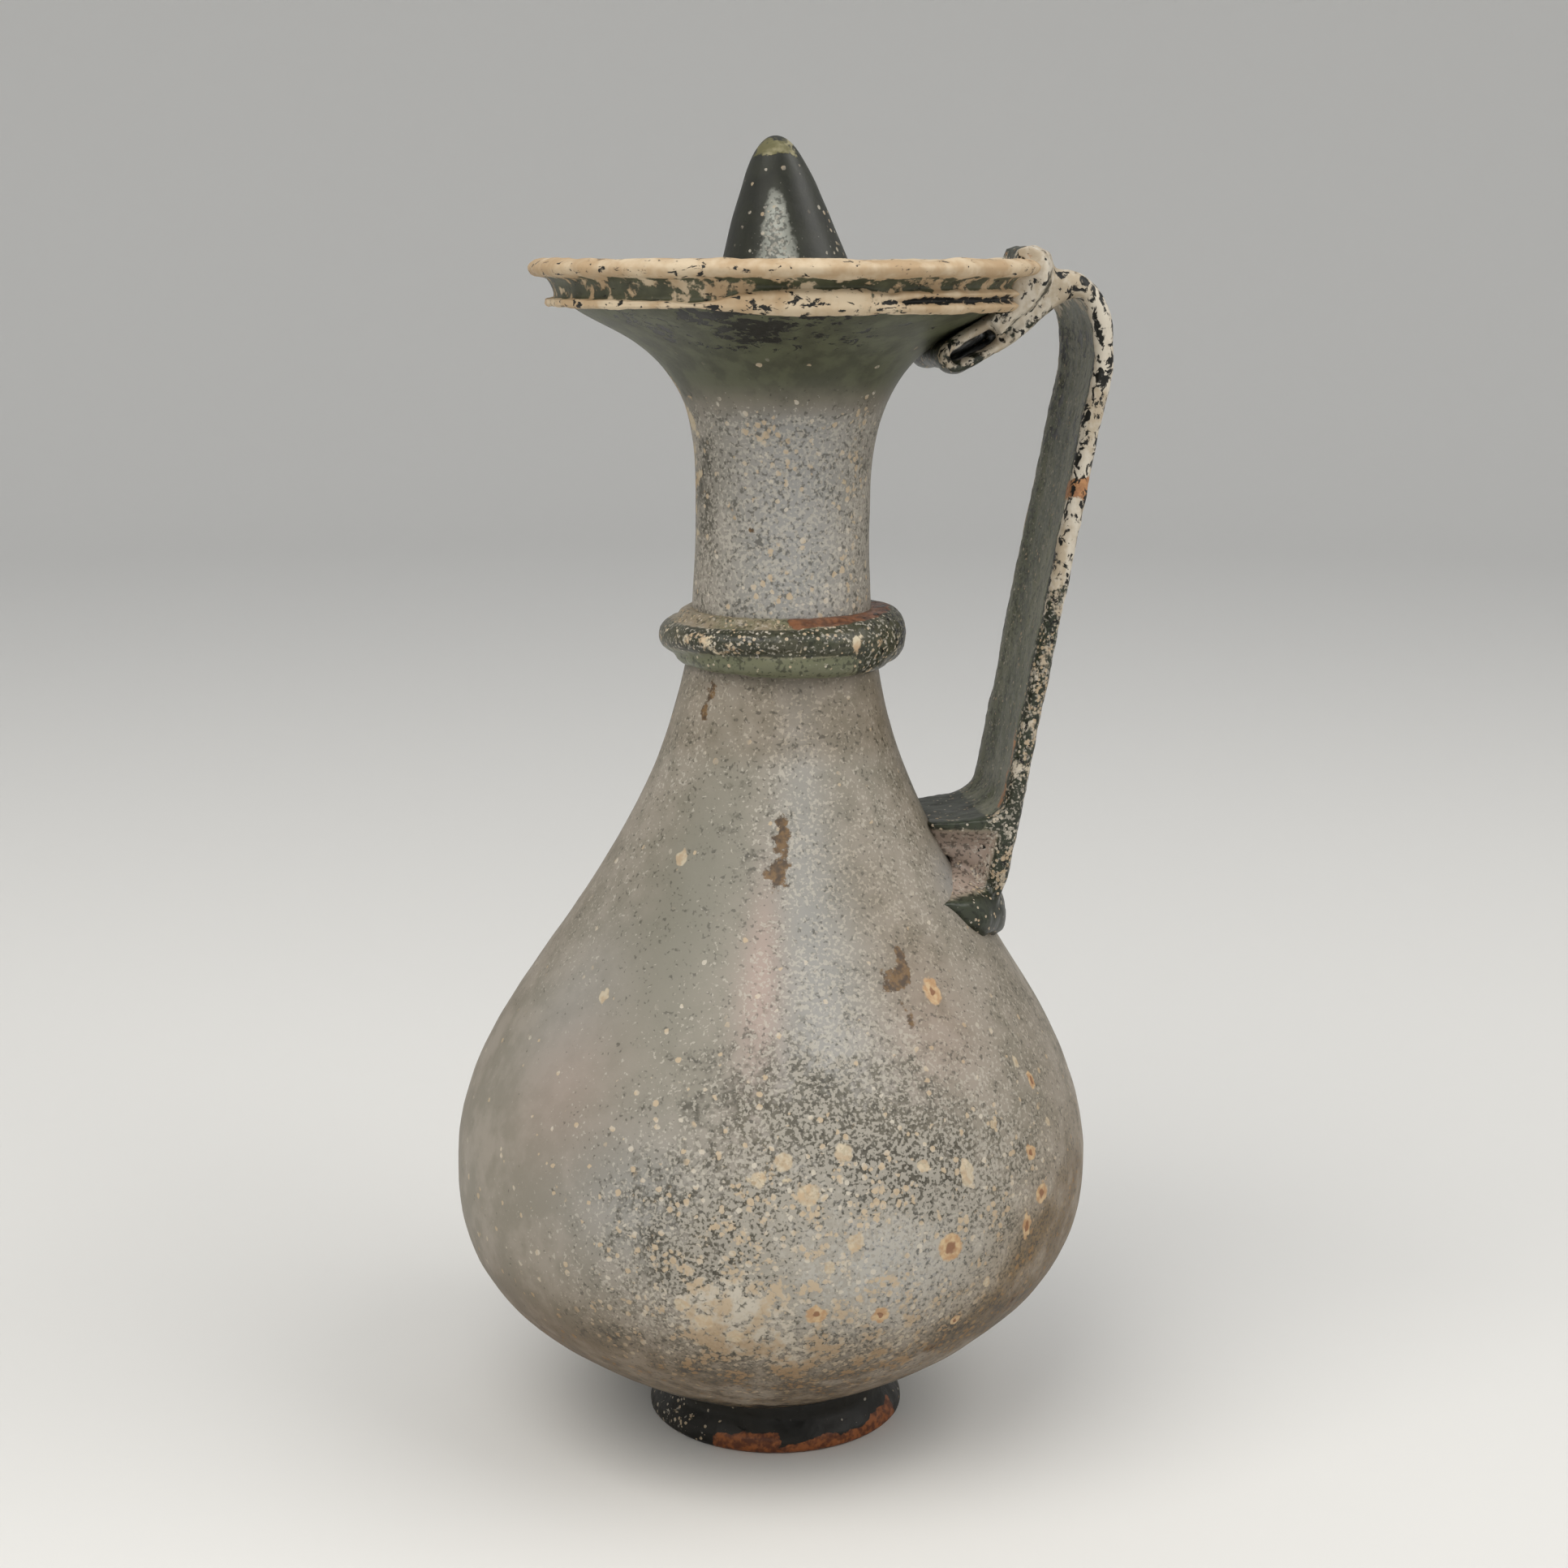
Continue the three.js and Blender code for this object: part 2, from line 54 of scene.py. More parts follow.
RIM_HEIGHT, ROLL_RADIUS, ROLL_DEPTH = 230, 48.6, 3.6
LIP_RADIUS, RECESS_RADIUS, BAND_RADIUS = 43.6, 43.9, 45.3
RIDGE_TOP, RIDGE_BOTTOM, LEAF_TOP, LEAF_BOTTOM = 6.9, 8.6, 4.8, 9.5
LEAF_CENTRE, LEAF_SPREAD = -3, 24
GROOVE_DEPTH, GROOVE_CENTRE, GROOVE_SPREAD, BACK_CENTRE = 1.4, 40, 36, 150
FOOT_RADIUS, FOOT_TOP_RADIUS, FOOT_BORE, FOOT_EDGE, FOOT_SHIFT = 25.8, 23.4, 19.4, 0.9, -1.8
THICK_TURN_DEPTH, THIN_TURN_DEPTH = 4.4, 3.2
STRAP_WIDTH, STRAP_THICKNESS, STRAP_REACH, STRAP_WEB = 31, 4.3, 9.4, 0.62
STRAP_FOOT_HEIGHT, STRAP_STANDOFF = 113, 7.2
WEB_HEIGHT, WEB_NARROWING, FILLET_HEIGHT = 120.4, 0.24, 9
BEND_DROP, CROWN_DROP, CROWN_INSET, LANDING_THICKNESS = 19, 5.6, 4, 6.6
FOLD_DROP, FOLD_REACH, FOLD_RISE, FOLD_LENGTH = 17.6, 3, 30, 11
FOLD_SLOT, FOLD_THICKNESS = 1.4, 2.8
STRAND_THICKNESS, STRAND_WIDTH, STRAND_SHIFT = 2.6, 30, -7
PAD_ANGLE, PAD_TOP, PAD_CLAW_HEIGHT, PAD_BOTTOM = 39, 114.5, 110, 99.4
PAD_LOBE, PAD_THICKNESS, PAD_CLAW_THICKNESS = 0.9, 6, 0.8
LID_RADIUS, LID_HEIGHT, LID_TIP_PULL = 19.6, 45.1, 5.5
LID_WAIST, LID_WAIST_HEIGHT, LID_WALL, LID_EDGE = 7.5, 33, 1.8, 1.4
LID_TILT = 4

# How deep a fused piece sinks into the wall that carries it, and the grain of each fused skin.
SINK = 0.7
COLLAR_VOXEL, STRAP_VOXEL, FOOT_VOXEL = 0.4, 0.5, 0.42

# The scoop in the web's sides and top, the station at the strap's bend, and where the strand begins.
WEB_SCOOP, WEB_DIP, BEND_STATION, STRAND_SIDE = 2.6, 1.6, 37, 51.5

foot_low, foot_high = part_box("foot_ring")
AXIS_X = (foot_low.x + foot_high.x) * 500 - FOOT_SHIFT


def smooth(x, low, high):
    """0 up to low, 1 from high, and a smooth step between."""
    t = np.clip((np.asarray(x, float) - low) / (high - low), 0, 1)
    return t * t * (3 - 2 * t)


def lerp(a, b, t):
    return a + (b - a) * t


def lean(z):
    """How far the jug's axis stands off towards the handle at a height."""
    return 0.0185 * (z - 190) - 1.5 * np.exp(-z / 30)


def bezier(p0, p1, p2, p3, steps):
    t = np.linspace(0, 1, steps + 1)[:, None]
    p0, p1, p2, p3 = (np.array(p, float) for p in (p0, p1, p2, p3))
    return (1 - t) ** 3 * p0 + 3 * t * (1 - t) ** 2 * p1 + 3 * t * t * (1 - t) * p2 + t**3 * p3


# Stations of the outline: radius, height, direction in degrees, pull before and pull after.
STATIONS = [
    (0, KICK_HEIGHT, 0, 0, 0.9),
    (KICK_RADIUS, KICK_LOWEST, 0, 0.9, 0.6),
    (BASE_RADIUS, BASE_HEIGHT, BASE_RISE, 0.6, 0.85),
    (BELLY_RADIUS, BELLY_HEIGHT, 90, 0.38, 0.4),
    (SHOULDER_RADIUS, SHOULDER_HEIGHT, 90 + SHOULDER_LEAN, 0.3, 0.5),
    (NECK_RADIUS, NECK_HEIGHT, 90, 0.36, 0.8),
    (FUNNEL_RADIUS, FUNNEL_HEIGHT, FUNNEL_RISE, 0.275, 0),
]


def bow(start, end, steps):
    """The curve between two stations."""
    reach = max(abs(end[1] - start[1]), (end[0] - start[0]) / 2)
    out, into = math.radians(start[2]), math.radians(end[2])
    leave = (start[0] + start[4] * reach * math.cos(out), start[1] + start[4] * reach * math.sin(out))
    arrive = (end[0] - end[3] * reach * math.cos(into), end[1] - end[3] * reach * math.sin(into))
    return bezier(start[:2], leave, arrive, end[:2], steps)


def outline(steps):
    """The vessel's outside from its underside to the rim, as radius and height."""
    points = [np.array([STATIONS[0][:2]], float)]
    for start, end, count in zip(STATIONS, STATIONS[1:], steps):
        points.append(bow(start, end, count)[1:])
    return np.concatenate(points)


def moved(points, distance):
    """An outline moved outwards."""
    along = np.empty_like(points)
    along[1:-1] = points[2:] - points[:-2]
    along[0], along[-1] = points[1] - points[0], points[-1] - points[-2]
    along /= np.linalg.norm(along, axis=1)[:, None]
    distance = np.broadcast_to(distance, len(points))
    out = points + np.stack([along[:, 1], -along[:, 0]], 1) * distance[:, None]
    out[:, 0] = np.where(points[:, 0] == 0, 0, np.maximum(out[:, 0], 0.01))
    return out


FINE = outline([30, 12, 90, 80, 90, 60])
SIDE = FINE[42:]


def surface(z):
    """The radius of the vessel's side at a height."""
    return np.interp(z, SIDE[:, 1], SIDE[:, 0])


def bump(angle, centre, spread):
    """1 round a centre, 0 from the spread on. Angles in degrees."""
    away = abs((angle - centre + 180) % 360 - 180)
    return 1 - smooth(away, spread * 0.45, spread)


def rim_outline(angle):
    """The section of the rim at an angle, from below the band to inside the lip."""
    leaf = bump(angle, LEAF_CENTRE, LEAF_SPREAD)
    double = max(bump(angle, GROOVE_CENTRE, GROOVE_SPREAD), bump(angle, BACK_CENTRE, GROOVE_SPREAD))
    broad = max(leaf, double * 0.9)
    top = RIM_HEIGHT - lerp(RIDGE_TOP, LEAF_TOP, broad)
    bottom = RIM_HEIGHT - lerp(RIDGE_BOTTOM, LEAF_BOTTOM, broad)
    middle, quarter = (top + bottom) / 2, (top - bottom) / 4
    groove = GROOVE_DEPTH * double * (1 - leaf)
    foot = RIM_HEIGHT - ROLL_DEPTH
    curve = (ROLL_RADIUS - RECESS_RADIUS) / 4
    dip = 0.35 * bump(angle, 17, 16)
    return np.array([
        (BAND_RADIUS - quarter * 1.2, bottom),
        (BAND_RADIUS, bottom + quarter),
        (BAND_RADIUS - groove, middle),
        (BAND_RADIUS, top - quarter),
        (RECESS_RADIUS, top),
        (RECESS_RADIUS + curve, foot),
        (ROLL_RADIUS - curve / 2, foot + ROLL_DEPTH / 4),
        (ROLL_RADIUS, foot + ROLL_DEPTH * 0.6),
        (ROLL_RADIUS - curve, RIM_HEIGHT - ROLL_DEPTH / 12 - dip),
        (ROLL_RADIUS - 2.4 * curve, RIM_HEIGHT - dip),
        (LIP_RADIUS, RIM_HEIGHT - ROLL_DEPTH / 8 - dip),
        (LIP_RADIUS - curve, RIM_HEIGHT - ROLL_DEPTH / 2),
    ])


def catmull(points, steps):
    """A centripetal curve through the points, from the second to the last but one."""
    out = []
    for p0, p1, p2, p3 in zip(points, points[1:], points[2:], points[3:]):
        gaps = [max(np.linalg.norm(b - a), 1e-6) ** 0.5 for a, b in ((p0, p1), (p1, p2), (p2, p3))]
        t0, t1 = 0, gaps[0]
        t2, t3 = t1 + gaps[1], t1 + gaps[1] + gaps[2]
        for t in np.linspace(t1, t2, steps, endpoint=False):
            a1 = (t1 - t) / (t1 - t0) * p0 + (t - t0) / (t1 - t0) * p1
            a2 = (t2 - t) / (t2 - t1) * p1 + (t - t1) / (t2 - t1) * p2
            a3 = (t3 - t) / (t3 - t2) * p2 + (t - t2) / (t3 - t2) * p3
            b1 = (t2 - t) / (t2 - t0) * a1 + (t - t0) / (t2 - t0) * a2
            b2 = (t3 - t) / (t3 - t1) * a2 + (t - t1) / (t3 - t1) * a3
            out.append((t2 - t) / (t2 - t1) * b1 + (t - t1) / (t2 - t1) * b2)
    out.append(points[-2])
    return np.array(out)


def noise_at(points, size, seed=0.0, octaves=3):
    """Fractal noise from about -1 to 1 at points in millimetres, its largest forms about so wide."""
    shift = Vector((seed * 13.7, seed * 7.3, seed * 3.1))
    return np.array([
        noise.fractal(Vector(p) / size + shift, 0.8, 2.1, octaves, noise_basis="PERLIN_ORIGINAL")
        for p in points
    ])


def new_piece(name, points, faces, fields=None):
    """A mesh object from points in millimetres, smooth, with its fields as attributes."""
    mesh = bpy.data.meshes.new(name)
    mesh.from_pydata((np.asarray(points) * 0.001).tolist(), [], faces)
    mesh.polygons.foreach_set("use_smooth", [True] * len(mesh.polygons))
    piece = bpy.data.objects.new(name, mesh)
    bpy.context.scene.collection.objects.link(piece)
    for field, values in (fields or {}).items():
        mesh.attributes.new(field, "FLOAT", "POINT").data.foreach_set(
            "value", np.clip(np.broadcast_to(values, len(points)), 0, 1).astype(np.float32)
        )
    mesh.update()
    return piece


def grid_faces(rows, columns, first=0):
    """Quads of a grid whose rows close on themselves."""
    faces = []
    for i in range(rows - 1):
        a, b = first + i * columns, first + (i + 1) * columns
        for k in range(columns):
            n = (k + 1) % columns
            faces.append((a + k, b + k, b + n, a + n))
    return faces


def turned(outlines, angles):
    """Points and faces of a turned skin. outlines[i] is the outline at angles[i], pole to pole."""
    count, rows = len(angles), len(outlines[0]) - 2
    around = np.radians(angles)
    inner = np.stack([o[1:-1] for o in outlines], 1)
    x = inner[:, :, 0] * np.sin(around)
    y = -inner[:, :, 0] * np.cos(around)
    points = np.stack([x, y, inner[:, :, 1]], 2).reshape(-1, 3)
    ends = np.array([[0, 0, outlines[0][0][1]], [0, 0, outlines[0][-1][1]]])
    points = np.concatenate([points, ends])
    faces = grid_faces(rows, count)
    low, high = len(points) - 2, len(points) - 1
    last = (rows - 1) * count
    for k in range(count):
        n = (k + 1) % count
        faces.append((low, k, n))
        faces.append((high, last + n, last + k))
    return points, faces


def normals_of(points, faces):
    """Unit normals at the points."""
    quads = np.array([f if len(f) == 4 else (*f, f[2]) for f in faces])
    p = points[quads]
    normal = np.cross(p[:, 2] - p[:, 0], p[:, 3] - p[:, 1])
    out = np.zeros_like(points)
    for k in range(4):
        np.add.at(out, quads[:, k], normal)
    return out / np.maximum(np.linalg.norm(out, axis=1), 1e-12)[:, None]


def angle_of(points):
    """Degrees round the jug's axis from the front towards the handle."""
    x = points[:, 0] - AXIS_X - lean(points[:, 2])
    return np.degrees(np.arctan2(x, -points[:, 1]))


def patch(angle, z, centre, height, width, tall):
    """1 at a place on the skin, fading to 0 at an ellipse that wide and tall."""
    across = (angle - centre + 180) % 360 - 180
    return np.clip(1 - np.hypot(across / width, (z - height) / tall), 0, 1)


def window(x, start, end, soft):
    """1 between start and end, fading over soft outside them."""
    return smooth(x, start - soft, start) * (1 - smooth(x, end, end + soft))


def hump(angle, z, centre, height, width, tall):
    """A soft round mound of 1 at a place on the skin."""
    across = (angle - centre + 180) % 360 - 180
    return np.exp(-((across / width) ** 2) - ((z - height) / tall) ** 2)


# ---- Vessel
def make_vessel():
    """The blown body as one skin, outside and inside."""
    count = 288
    angles = np.arange(count) * 360 / count
    outer = outline([8, 4, 46, 44, 46, 30])
    inside = outline([4, 2, 18, 14, 16, 12])
    inner = moved(inside, -lerp(BASE_WALL, WALL, smooth(inside[:, 1], BASE_HEIGHT, BASE_WALL_REACH)))
    outlines = []
    for angle in angles:
        rim = catmull([outer[-2], outer[-1], *rim_outline(angle), inner[-1], inner[-2]], 4)
        outlines.append(np.concatenate([outer[:-1], rim, inner[-2::-1]]))
    points, faces = turned(outlines, angles)
    rows = len(outlines[0]) - 2
    row = np.append(np.repeat(np.arange(rows), count), [0, rows])
    points[:, 0] += lean(points[:, 2]) + AXIS_X
    outside = 1.0 * (row < len(outer) + 44)
    z, angle = points[:, 2], angle_of(points)
    knot = np.clip((row - len(outer) + 2) / 4, 0, 12)
    normal = normals_of(points, faces)
    broad, mid = noise_at(points, 34, 1), noise_at(points, 9, 2)
    rim = smooth(knot, 0, 1) * (1 - smooth(knot, 11, 12))
    push = 0.28 * broad + 0.1 * mid + rim * (0.3 * noise_at(points, 8, 3) + 0.1 * noise_at(points, 2.4, 4))
    push *= smooth(z, 8, 16)
    points = points + normal * push[:, None]
    fields = vessel_fields(points, angle, z, knot, outside, broad, mid)
    return new_piece("blown_vessel", points, faces, fields)


def vessel_fields(points, angle, z, knot, outside, broad, mid):
    """What lies where on the vessel. Angles in degrees, heights in millimetres."""
    def mound(*place):
        return hump(angle, z, *place)

    def stain(*place):
        return patch(angle, z, *place)

    on_rim = smooth(knot, 0.2, 0.6) * outside
    roll = smooth(knot, 6.2, 6.8) * outside
    band = on_rim * (1 - smooth(knot, 4.4, 4.8))
    neck = window(z, 164, 200, 5)
    funnel = smooth(z, 199, 209) * (1 - on_rim)
    body = smooth(z, 10, 20) * (1 - smooth(z, 148, 156))
    low = mound(-4, 50, 44, 30)
    # Painted highlight: a tall cool band down the front of the body.
    painted_highlight_band = mound(2, 100, 13, 62) * body
    left = mound(-66, 62, 40, 40)
    grey_left = mound(-36, 118, 20, 28)

    clear = 0.30 + 0.36 * low + 0.1 * broad - 0.28 * left - 0.2 * neck
    # Painted shade: more dark bare glass on the neck's left and right sides.
    clear += neck * (0.45 * mound(-74, 182, 24, 60) + 0.25 * mound(66, 182, 16, 60))
    clear += 0.3 * mound(-3, 80, 20, 9) + 0.24 * mound(14, 74, 12, 10)
    clear += 0.24 * mound(-17, 54, 12, 12) - 0.34 * mound(12, 52, 16, 10)
    grey = 0.9 * grey_left + 0.3 * mound(-36, 92, 16, 20) + 0.5 * mound(6, 120, 20, 22)
    # The cool tone on the front band and on the front of the neck is a painted highlight; the other cool patches
    # are film.
    cool_film_and_highlight = 0.62 * painted_highlight_band + 0.5 * mound(-32, 64, 15, 13) + 0.7 * mound(12, 52, 18, 10)
    cool_film_and_highlight += 0.75 * neck * mound(-4, 182, 50, 60) + 0.8 * mound(66, 112, 12, 6)
    cool_film_and_highlight += 0.35 * mound(-60, 92, 14, 14)
    pink = 0.8 * mound(-12, 101, 5, 16) + 0.35 * mound(-52, 80, 12, 12)
    pink += 0.3 * mound(28, 90, 12, 10)
    # Darker towards the bottom: partly brown dirt, partly painted shade under the belly.
    bottom = 1 - smooth(z, 22, 50)
    grain = 0.38 + 0.28 * low + 0.05 * painted_highlight_band + 0.04 * neck + 0.06 * broad - 0.24 * left - 0.3 * funnel
    grain -= 0.14 * grey_left + 0.22 * bottom
    speck = 0.30 + 0.2 * low + 0.09 * neck - 0.2 * left - 0.1 * funnel
    cream = 0.02 + 0.42 * low + 0.08 * neck
    cream += 0.4 * mound(-24, 196, 18, 10) + 0.36 * mound(42, 184, 14, 26)
    cream += (
        0.26 * mound(0, 168, 50, 8) + 0.3 * mound(5, 32, 40, 12)
        + 0.1 * mound(35, 60, 30, 24) + 0.05 * mid
    )
    cream += 0.3 * mound(-17, 46, 10, 9) + 0.12 * mound(-5, 70, 14, 10) - 0.03 * funnel
    crust = 0.04 + 0.34 * mound(-17, 42, 8, 5) + 0.3 * mound(-7, 70, 8, 5)
    crust += 0.14 * neck * (0.6 + 0.8 * broad) + 0.4 * mound(-92, 192, 24, 24)
    crust += 0.14 * mound(36, 60, 24, 22) + 0.16 * mound(0, 203, 60, 8)
    recess = on_rim - roll - band
    rim_crust = roll * 0.9 + band * (0.74 + 0.14 * (1 - smooth(angle, -50, -10))) + recess * 0.42
    crust = lerp(crust, rim_crust, on_rim)
    # The brown at the bottom is partly dirt and partly painted shade.
    brown = 1.05 * bottom + 0.25 * smooth(angle, 28, 70) * body
    brown += (
        1.1 * smooth(angle, 26, 60) * (1 - smooth(z, 40, 66)) + 0.6 * mound(50, 36, 26, 16)
        + 0.7 * mound(64, 46, 24, 20) + 0.3 * mound(-58, 34, 30, 16)
    )
    brown += 0.3 * (1 - smooth(angle, -98, -72)) * body + 0.45 * mound(30, 98, 12, 14)
    brown += 0.3 * mound(20, 118, 14, 16) + 0.4 * window(z, 140, 152, 4) * mound(0, 146, 90, 20)
    brown += 0.25 * roll + 0.3 * roll * smooth(angle, 20, 60)
    rust = 0.95 * stain(-6.2, 125.5, 6.5, 6.5) + 0.9 * stain(-8.2, 118.6, 9, 4.5)
    rust += 0.95 * stain(22.0, 100.0, 7, 3.4) + 0.9 * stain(26, 103.4, 3, 5)
    rust += 0.2 * roll + 0.55 * stain(23, 94, 4, 7) + 0.85 * stain(-30, 181, 5, 1.8)
    rust += 0.85 * stain(-53.6, 145.7, 6, 3) + 0.6 * stain(-50, 151, 18, 4)
    rust += 0.85 * stain(24.2, 32.6, 4, 2.4) + 0.45 * stain(44, 38, 22, 12)
    rust += 0.4 * stain(-60, 30, 26, 10) + 0.3 * window(z, 20, 26, 6)
    under_rim = smooth(z, 210, 216.5) * (1 - on_rim)
    # Painted shadow: a band of dense dark flakes at the foot of the body.
    dark = 0.6 * (1 - smooth(z, 12, 21))
    dark += under_rim * (0.34 + 0.28 * broad + 0.16 * mound(-12, 219, 20, 6) + 0.25 * mid)
    groove = np.maximum(bump(angle, GROOVE_CENTRE, GROOVE_SPREAD), bump(angle, BACK_CENTRE, GROOVE_SPREAD))
    # Dark flakes on the roll and band; the darkness in the recess under the roll and along the band's groove is
    # painted shade.
    rim_dark = 0.28 * roll + band * (0.34 - 0.12 * groove) + recess * 0.24
    rim_dark += 0.5 * groove * window(knot, 2.7, 3.3, 0.5) * on_rim
    dark = lerp(dark, rim_dark, on_rim) * outside
    grain, speck, cream = (v * (1 - 0.8 * on_rim) for v in (grain, speck, cream))
    return {
        "clear": clear, "cool_film_and_highlight": cool_film_and_highlight, "pink": pink, "grain": grain, "speck": speck, "cream": cream,
        "crust": crust, "brown": brown, "rust": rust, "dark": dark, "grey": grey,
        "olive": np.maximum(funnel + on_rim, 1.0 - outside),
    }


def keep_out(inset):
    """The vessel's outside as a closed filled object, grown by -inset millimetres."""
    count = 120
    angles = np.arange(count) * 360 / count
    outer = outline([4, 2, 24, 22, 24, 20])
    outlines = []
    for angle in angles:
        skin = moved(np.concatenate([outer[:-1], rim_outline(angle)]), -inset)
        skin[-1] = (RECESS_RADIUS - 3, RIM_HEIGHT - inset)
        outlines.append(np.concatenate([skin, [[0, RIM_HEIGHT - inset]]]))
    points, faces = turned(outlines, angles)
    points[:, 0] += lean(points[:, 2])
    return new_piece("keep_out", points, faces)


def changed(piece, kind, **settings):
    """The piece's mesh after one modifier."""
    modifier = piece.modifiers.new(kind, kind)
    for key, value in settings.items():
        setattr(modifier, key, value)
    graph = bpy.context.evaluated_depsgraph_get()
    graph.update()
    mesh = bpy.data.meshes.new_from_object(piece.evaluated_get(graph))
    piece.modifiers.clear()
    old, piece.data = piece.data, mesh
    bpy.data.meshes.remove(old)
    return piece


def fused(name, shells, cutter, voxel, rounds=3):
    """One skin over closed shells that are cut by the vessel, joined and smoothed. Points in mm."""
    points, faces = [], []
    for shell_points, shell_faces in shells:
        shell = new_piece("shell", shell_points, shell_faces)
        bm = bmesh.new()
        bm.from_mesh(shell.data)
        bmesh.ops.triangulate(bm, faces=[f for f in bm.faces if len(f.verts) > 4])
        bmesh.ops.recalc_face_normals(bm, faces=bm.faces)
        bm.to_mesh(shell.data)
        bm.free()
        changed(shell, "BOOLEAN", operation="DIFFERENCE", solver="EXACT", object=cutter)
        first = len(points)
        points += [tuple(v.co * 1000) for v in shell.data.vertices]
        faces += [tuple(first + i for i in p.vertices) for p in shell.data.polygons]
        bpy.data.objects.remove(shell)
    piece = new_piece(name, points, faces)
    changed(piece, "REMESH", mode="VOXEL", voxel_size=voxel * 0.001, use_smooth_shade=True)
    changed(piece, "SMOOTH", factor=0.6, iterations=rounds)
    return piece


def points_of(piece):
    co = np.empty(len(piece.data.vertices) * 3)
    piece.data.vertices.foreach_get("co", co)
    return co.reshape(-1, 3) * 1000


def normals_at(piece):
    normal = np.empty(len(piece.data.vertices) * 3)
    piece.data.vertices.foreach_get("normal", normal)
    return normal.reshape(-1, 3)


def finish_piece(piece, points, fields, node, material):
    """Writes the points and fields back, gives the material, hangs the piece under the root and hides the node's
    own part.
    """
    piece.data.vertices.foreach_set("co", (points * 0.001).astype(np.float32).ravel())
    for field, values in fields.items():
        values = np.clip(np.broadcast_to(values, len(points)), 0, 1).astype(np.float32)
        piece.data.attributes.new(field, "FLOAT", "POINT").data.foreach_set("value", values)
    piece.data.polygons.foreach_set("use_smooth", [True] * len(piece.data.polygons))
    piece.data.update()
    dress(piece, node, material)


def dress(piece, node, material):
    """Gives the material, hangs the piece under the root and hides the node's own part."""
    piece.data.materials.clear()
    piece.data.materials.append(material)
    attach(piece, "root")
    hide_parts(node)


def loft(rings):
    """Points and faces of a closed skin through rings, capped at both ends."""
    around = len(rings[0])
    faces = grid_faces(len(rings), around)
    faces.append(tuple(range(around))[::-1])
    faces.append(tuple((len(rings) - 1) * around + k for k in range(around)))
    return np.concatenate(rings), faces


def wound(section_at, count, sides):
    """A closed ring round the axis, from its section at each angle."""
    rings = []
    turn = np.linspace(0, 2 * math.pi, sides, endpoint=False)
    for i in range(count):
        angle = 360 * i / count
        around = math.radians(angle - 90)
        r0, z0, thick, tall = section_at(angle)
        r = r0 + thick * np.cos(turn)
        z = z0 + tall * np.sin(turn)
        rings.append(np.stack([r * math.cos(around) + lean(z), r * math.sin(around), z], 1))
    faces = grid_faces(count, sides)
    last = (count - 1) * sides
    faces += [(last + k, k, (k + 1) % sides, last + (k + 1) % sides) for k in range(sides)]
    return np.concatenate(rings), faces


# ---- Collar
# The two turns of the trail by angle from the front: middle height, half height and standout.
TURN_ANGLES = (-98, -50, -8, 35, 81, 130, 180, 220, 262)
THICK_TURN = (
    (159.0, 3.7, 6.0), (159.8, 3.1, 6.3), (160.4, 2.7, 6.4), (159.5, 4.2, 6.4), (159.0, 5.8, 6.5),
    (159.0, 5.2, 6.4), (158.8, 4.6, 6.4), (158.8, 4.1, 6.2), (159.0, 3.7, 6.0),
)
THIN_TURN = (
    (156.0, 2.2, 2.4), (156.4, 2.7, 4.0), (156.5, 3.0, 5.2), (156.1, 3.2, 4.8), (155.4, 2.8, 3.2),
    (154.8, 2.5, 2.4), (154.6, 2.4, 2.2), (155.2, 2.3, 2.2), (156.0, 2.2, 2.4),
)


def collar_shells():
    """The two turns of the trail, and the soil on top."""
    def turn(table, thick):
        def section_at(angle):
            angle = (angle + 98) % 360 - 98
            z, tall, standout = (np.interp(angle, TURN_ANGLES, column) for column in zip(*table))
            return surface(z) + standout - thick, z, thick, tall
        return section_at

    def soil(angle):
        """Soil packed between the neck and the trail."""
        return surface(163) + 0.6, 162.6, 2.2, 1.9

    return [
        wound(turn(THICK_TURN, THICK_TURN_DEPTH), 150, 28),
        wound(turn(THIN_TURN, THIN_TURN_DEPTH), 150, 20),
        wound(soil, 150, 14),
    ]


# ---- Foot
def foot_shells():
    """The coil of the foot."""
    inside = BASE_HEIGHT + WALL
    profile = np.array([
        (FOOT_BORE + FOOT_EDGE, 0), (FOOT_RADIUS - FOOT_EDGE, 0), (FOOT_RADIUS, FOOT_EDGE),
        (FOOT_RADIUS - FOOT_EDGE / 3, BASE_HEIGHT * 0.4), (FOOT_TOP_RADIUS, BASE_HEIGHT * 0.85),
        (FOOT_TOP_RADIUS, inside), (FOOT_BORE - FOOT_EDGE, inside), (FOOT_BORE, FOOT_EDGE),
    ])
    count = 120
    rings = []
    for i in range(count):
        around = 2 * math.pi * i / count
        r, z = profile[:, 0], profile[:, 1]
        rings.append(np.stack([r * math.cos(around) + FOOT_SHIFT, r * math.sin(around), z], 1))
    sides = len(profile)
    faces = grid_faces(count, sides)
    last = (count - 1) * sides
    faces += [(last + k, k, (k + 1) % sides, last + (k + 1) % sides) for k in range(sides)]
    return [(np.concatenate(rings), faces)]


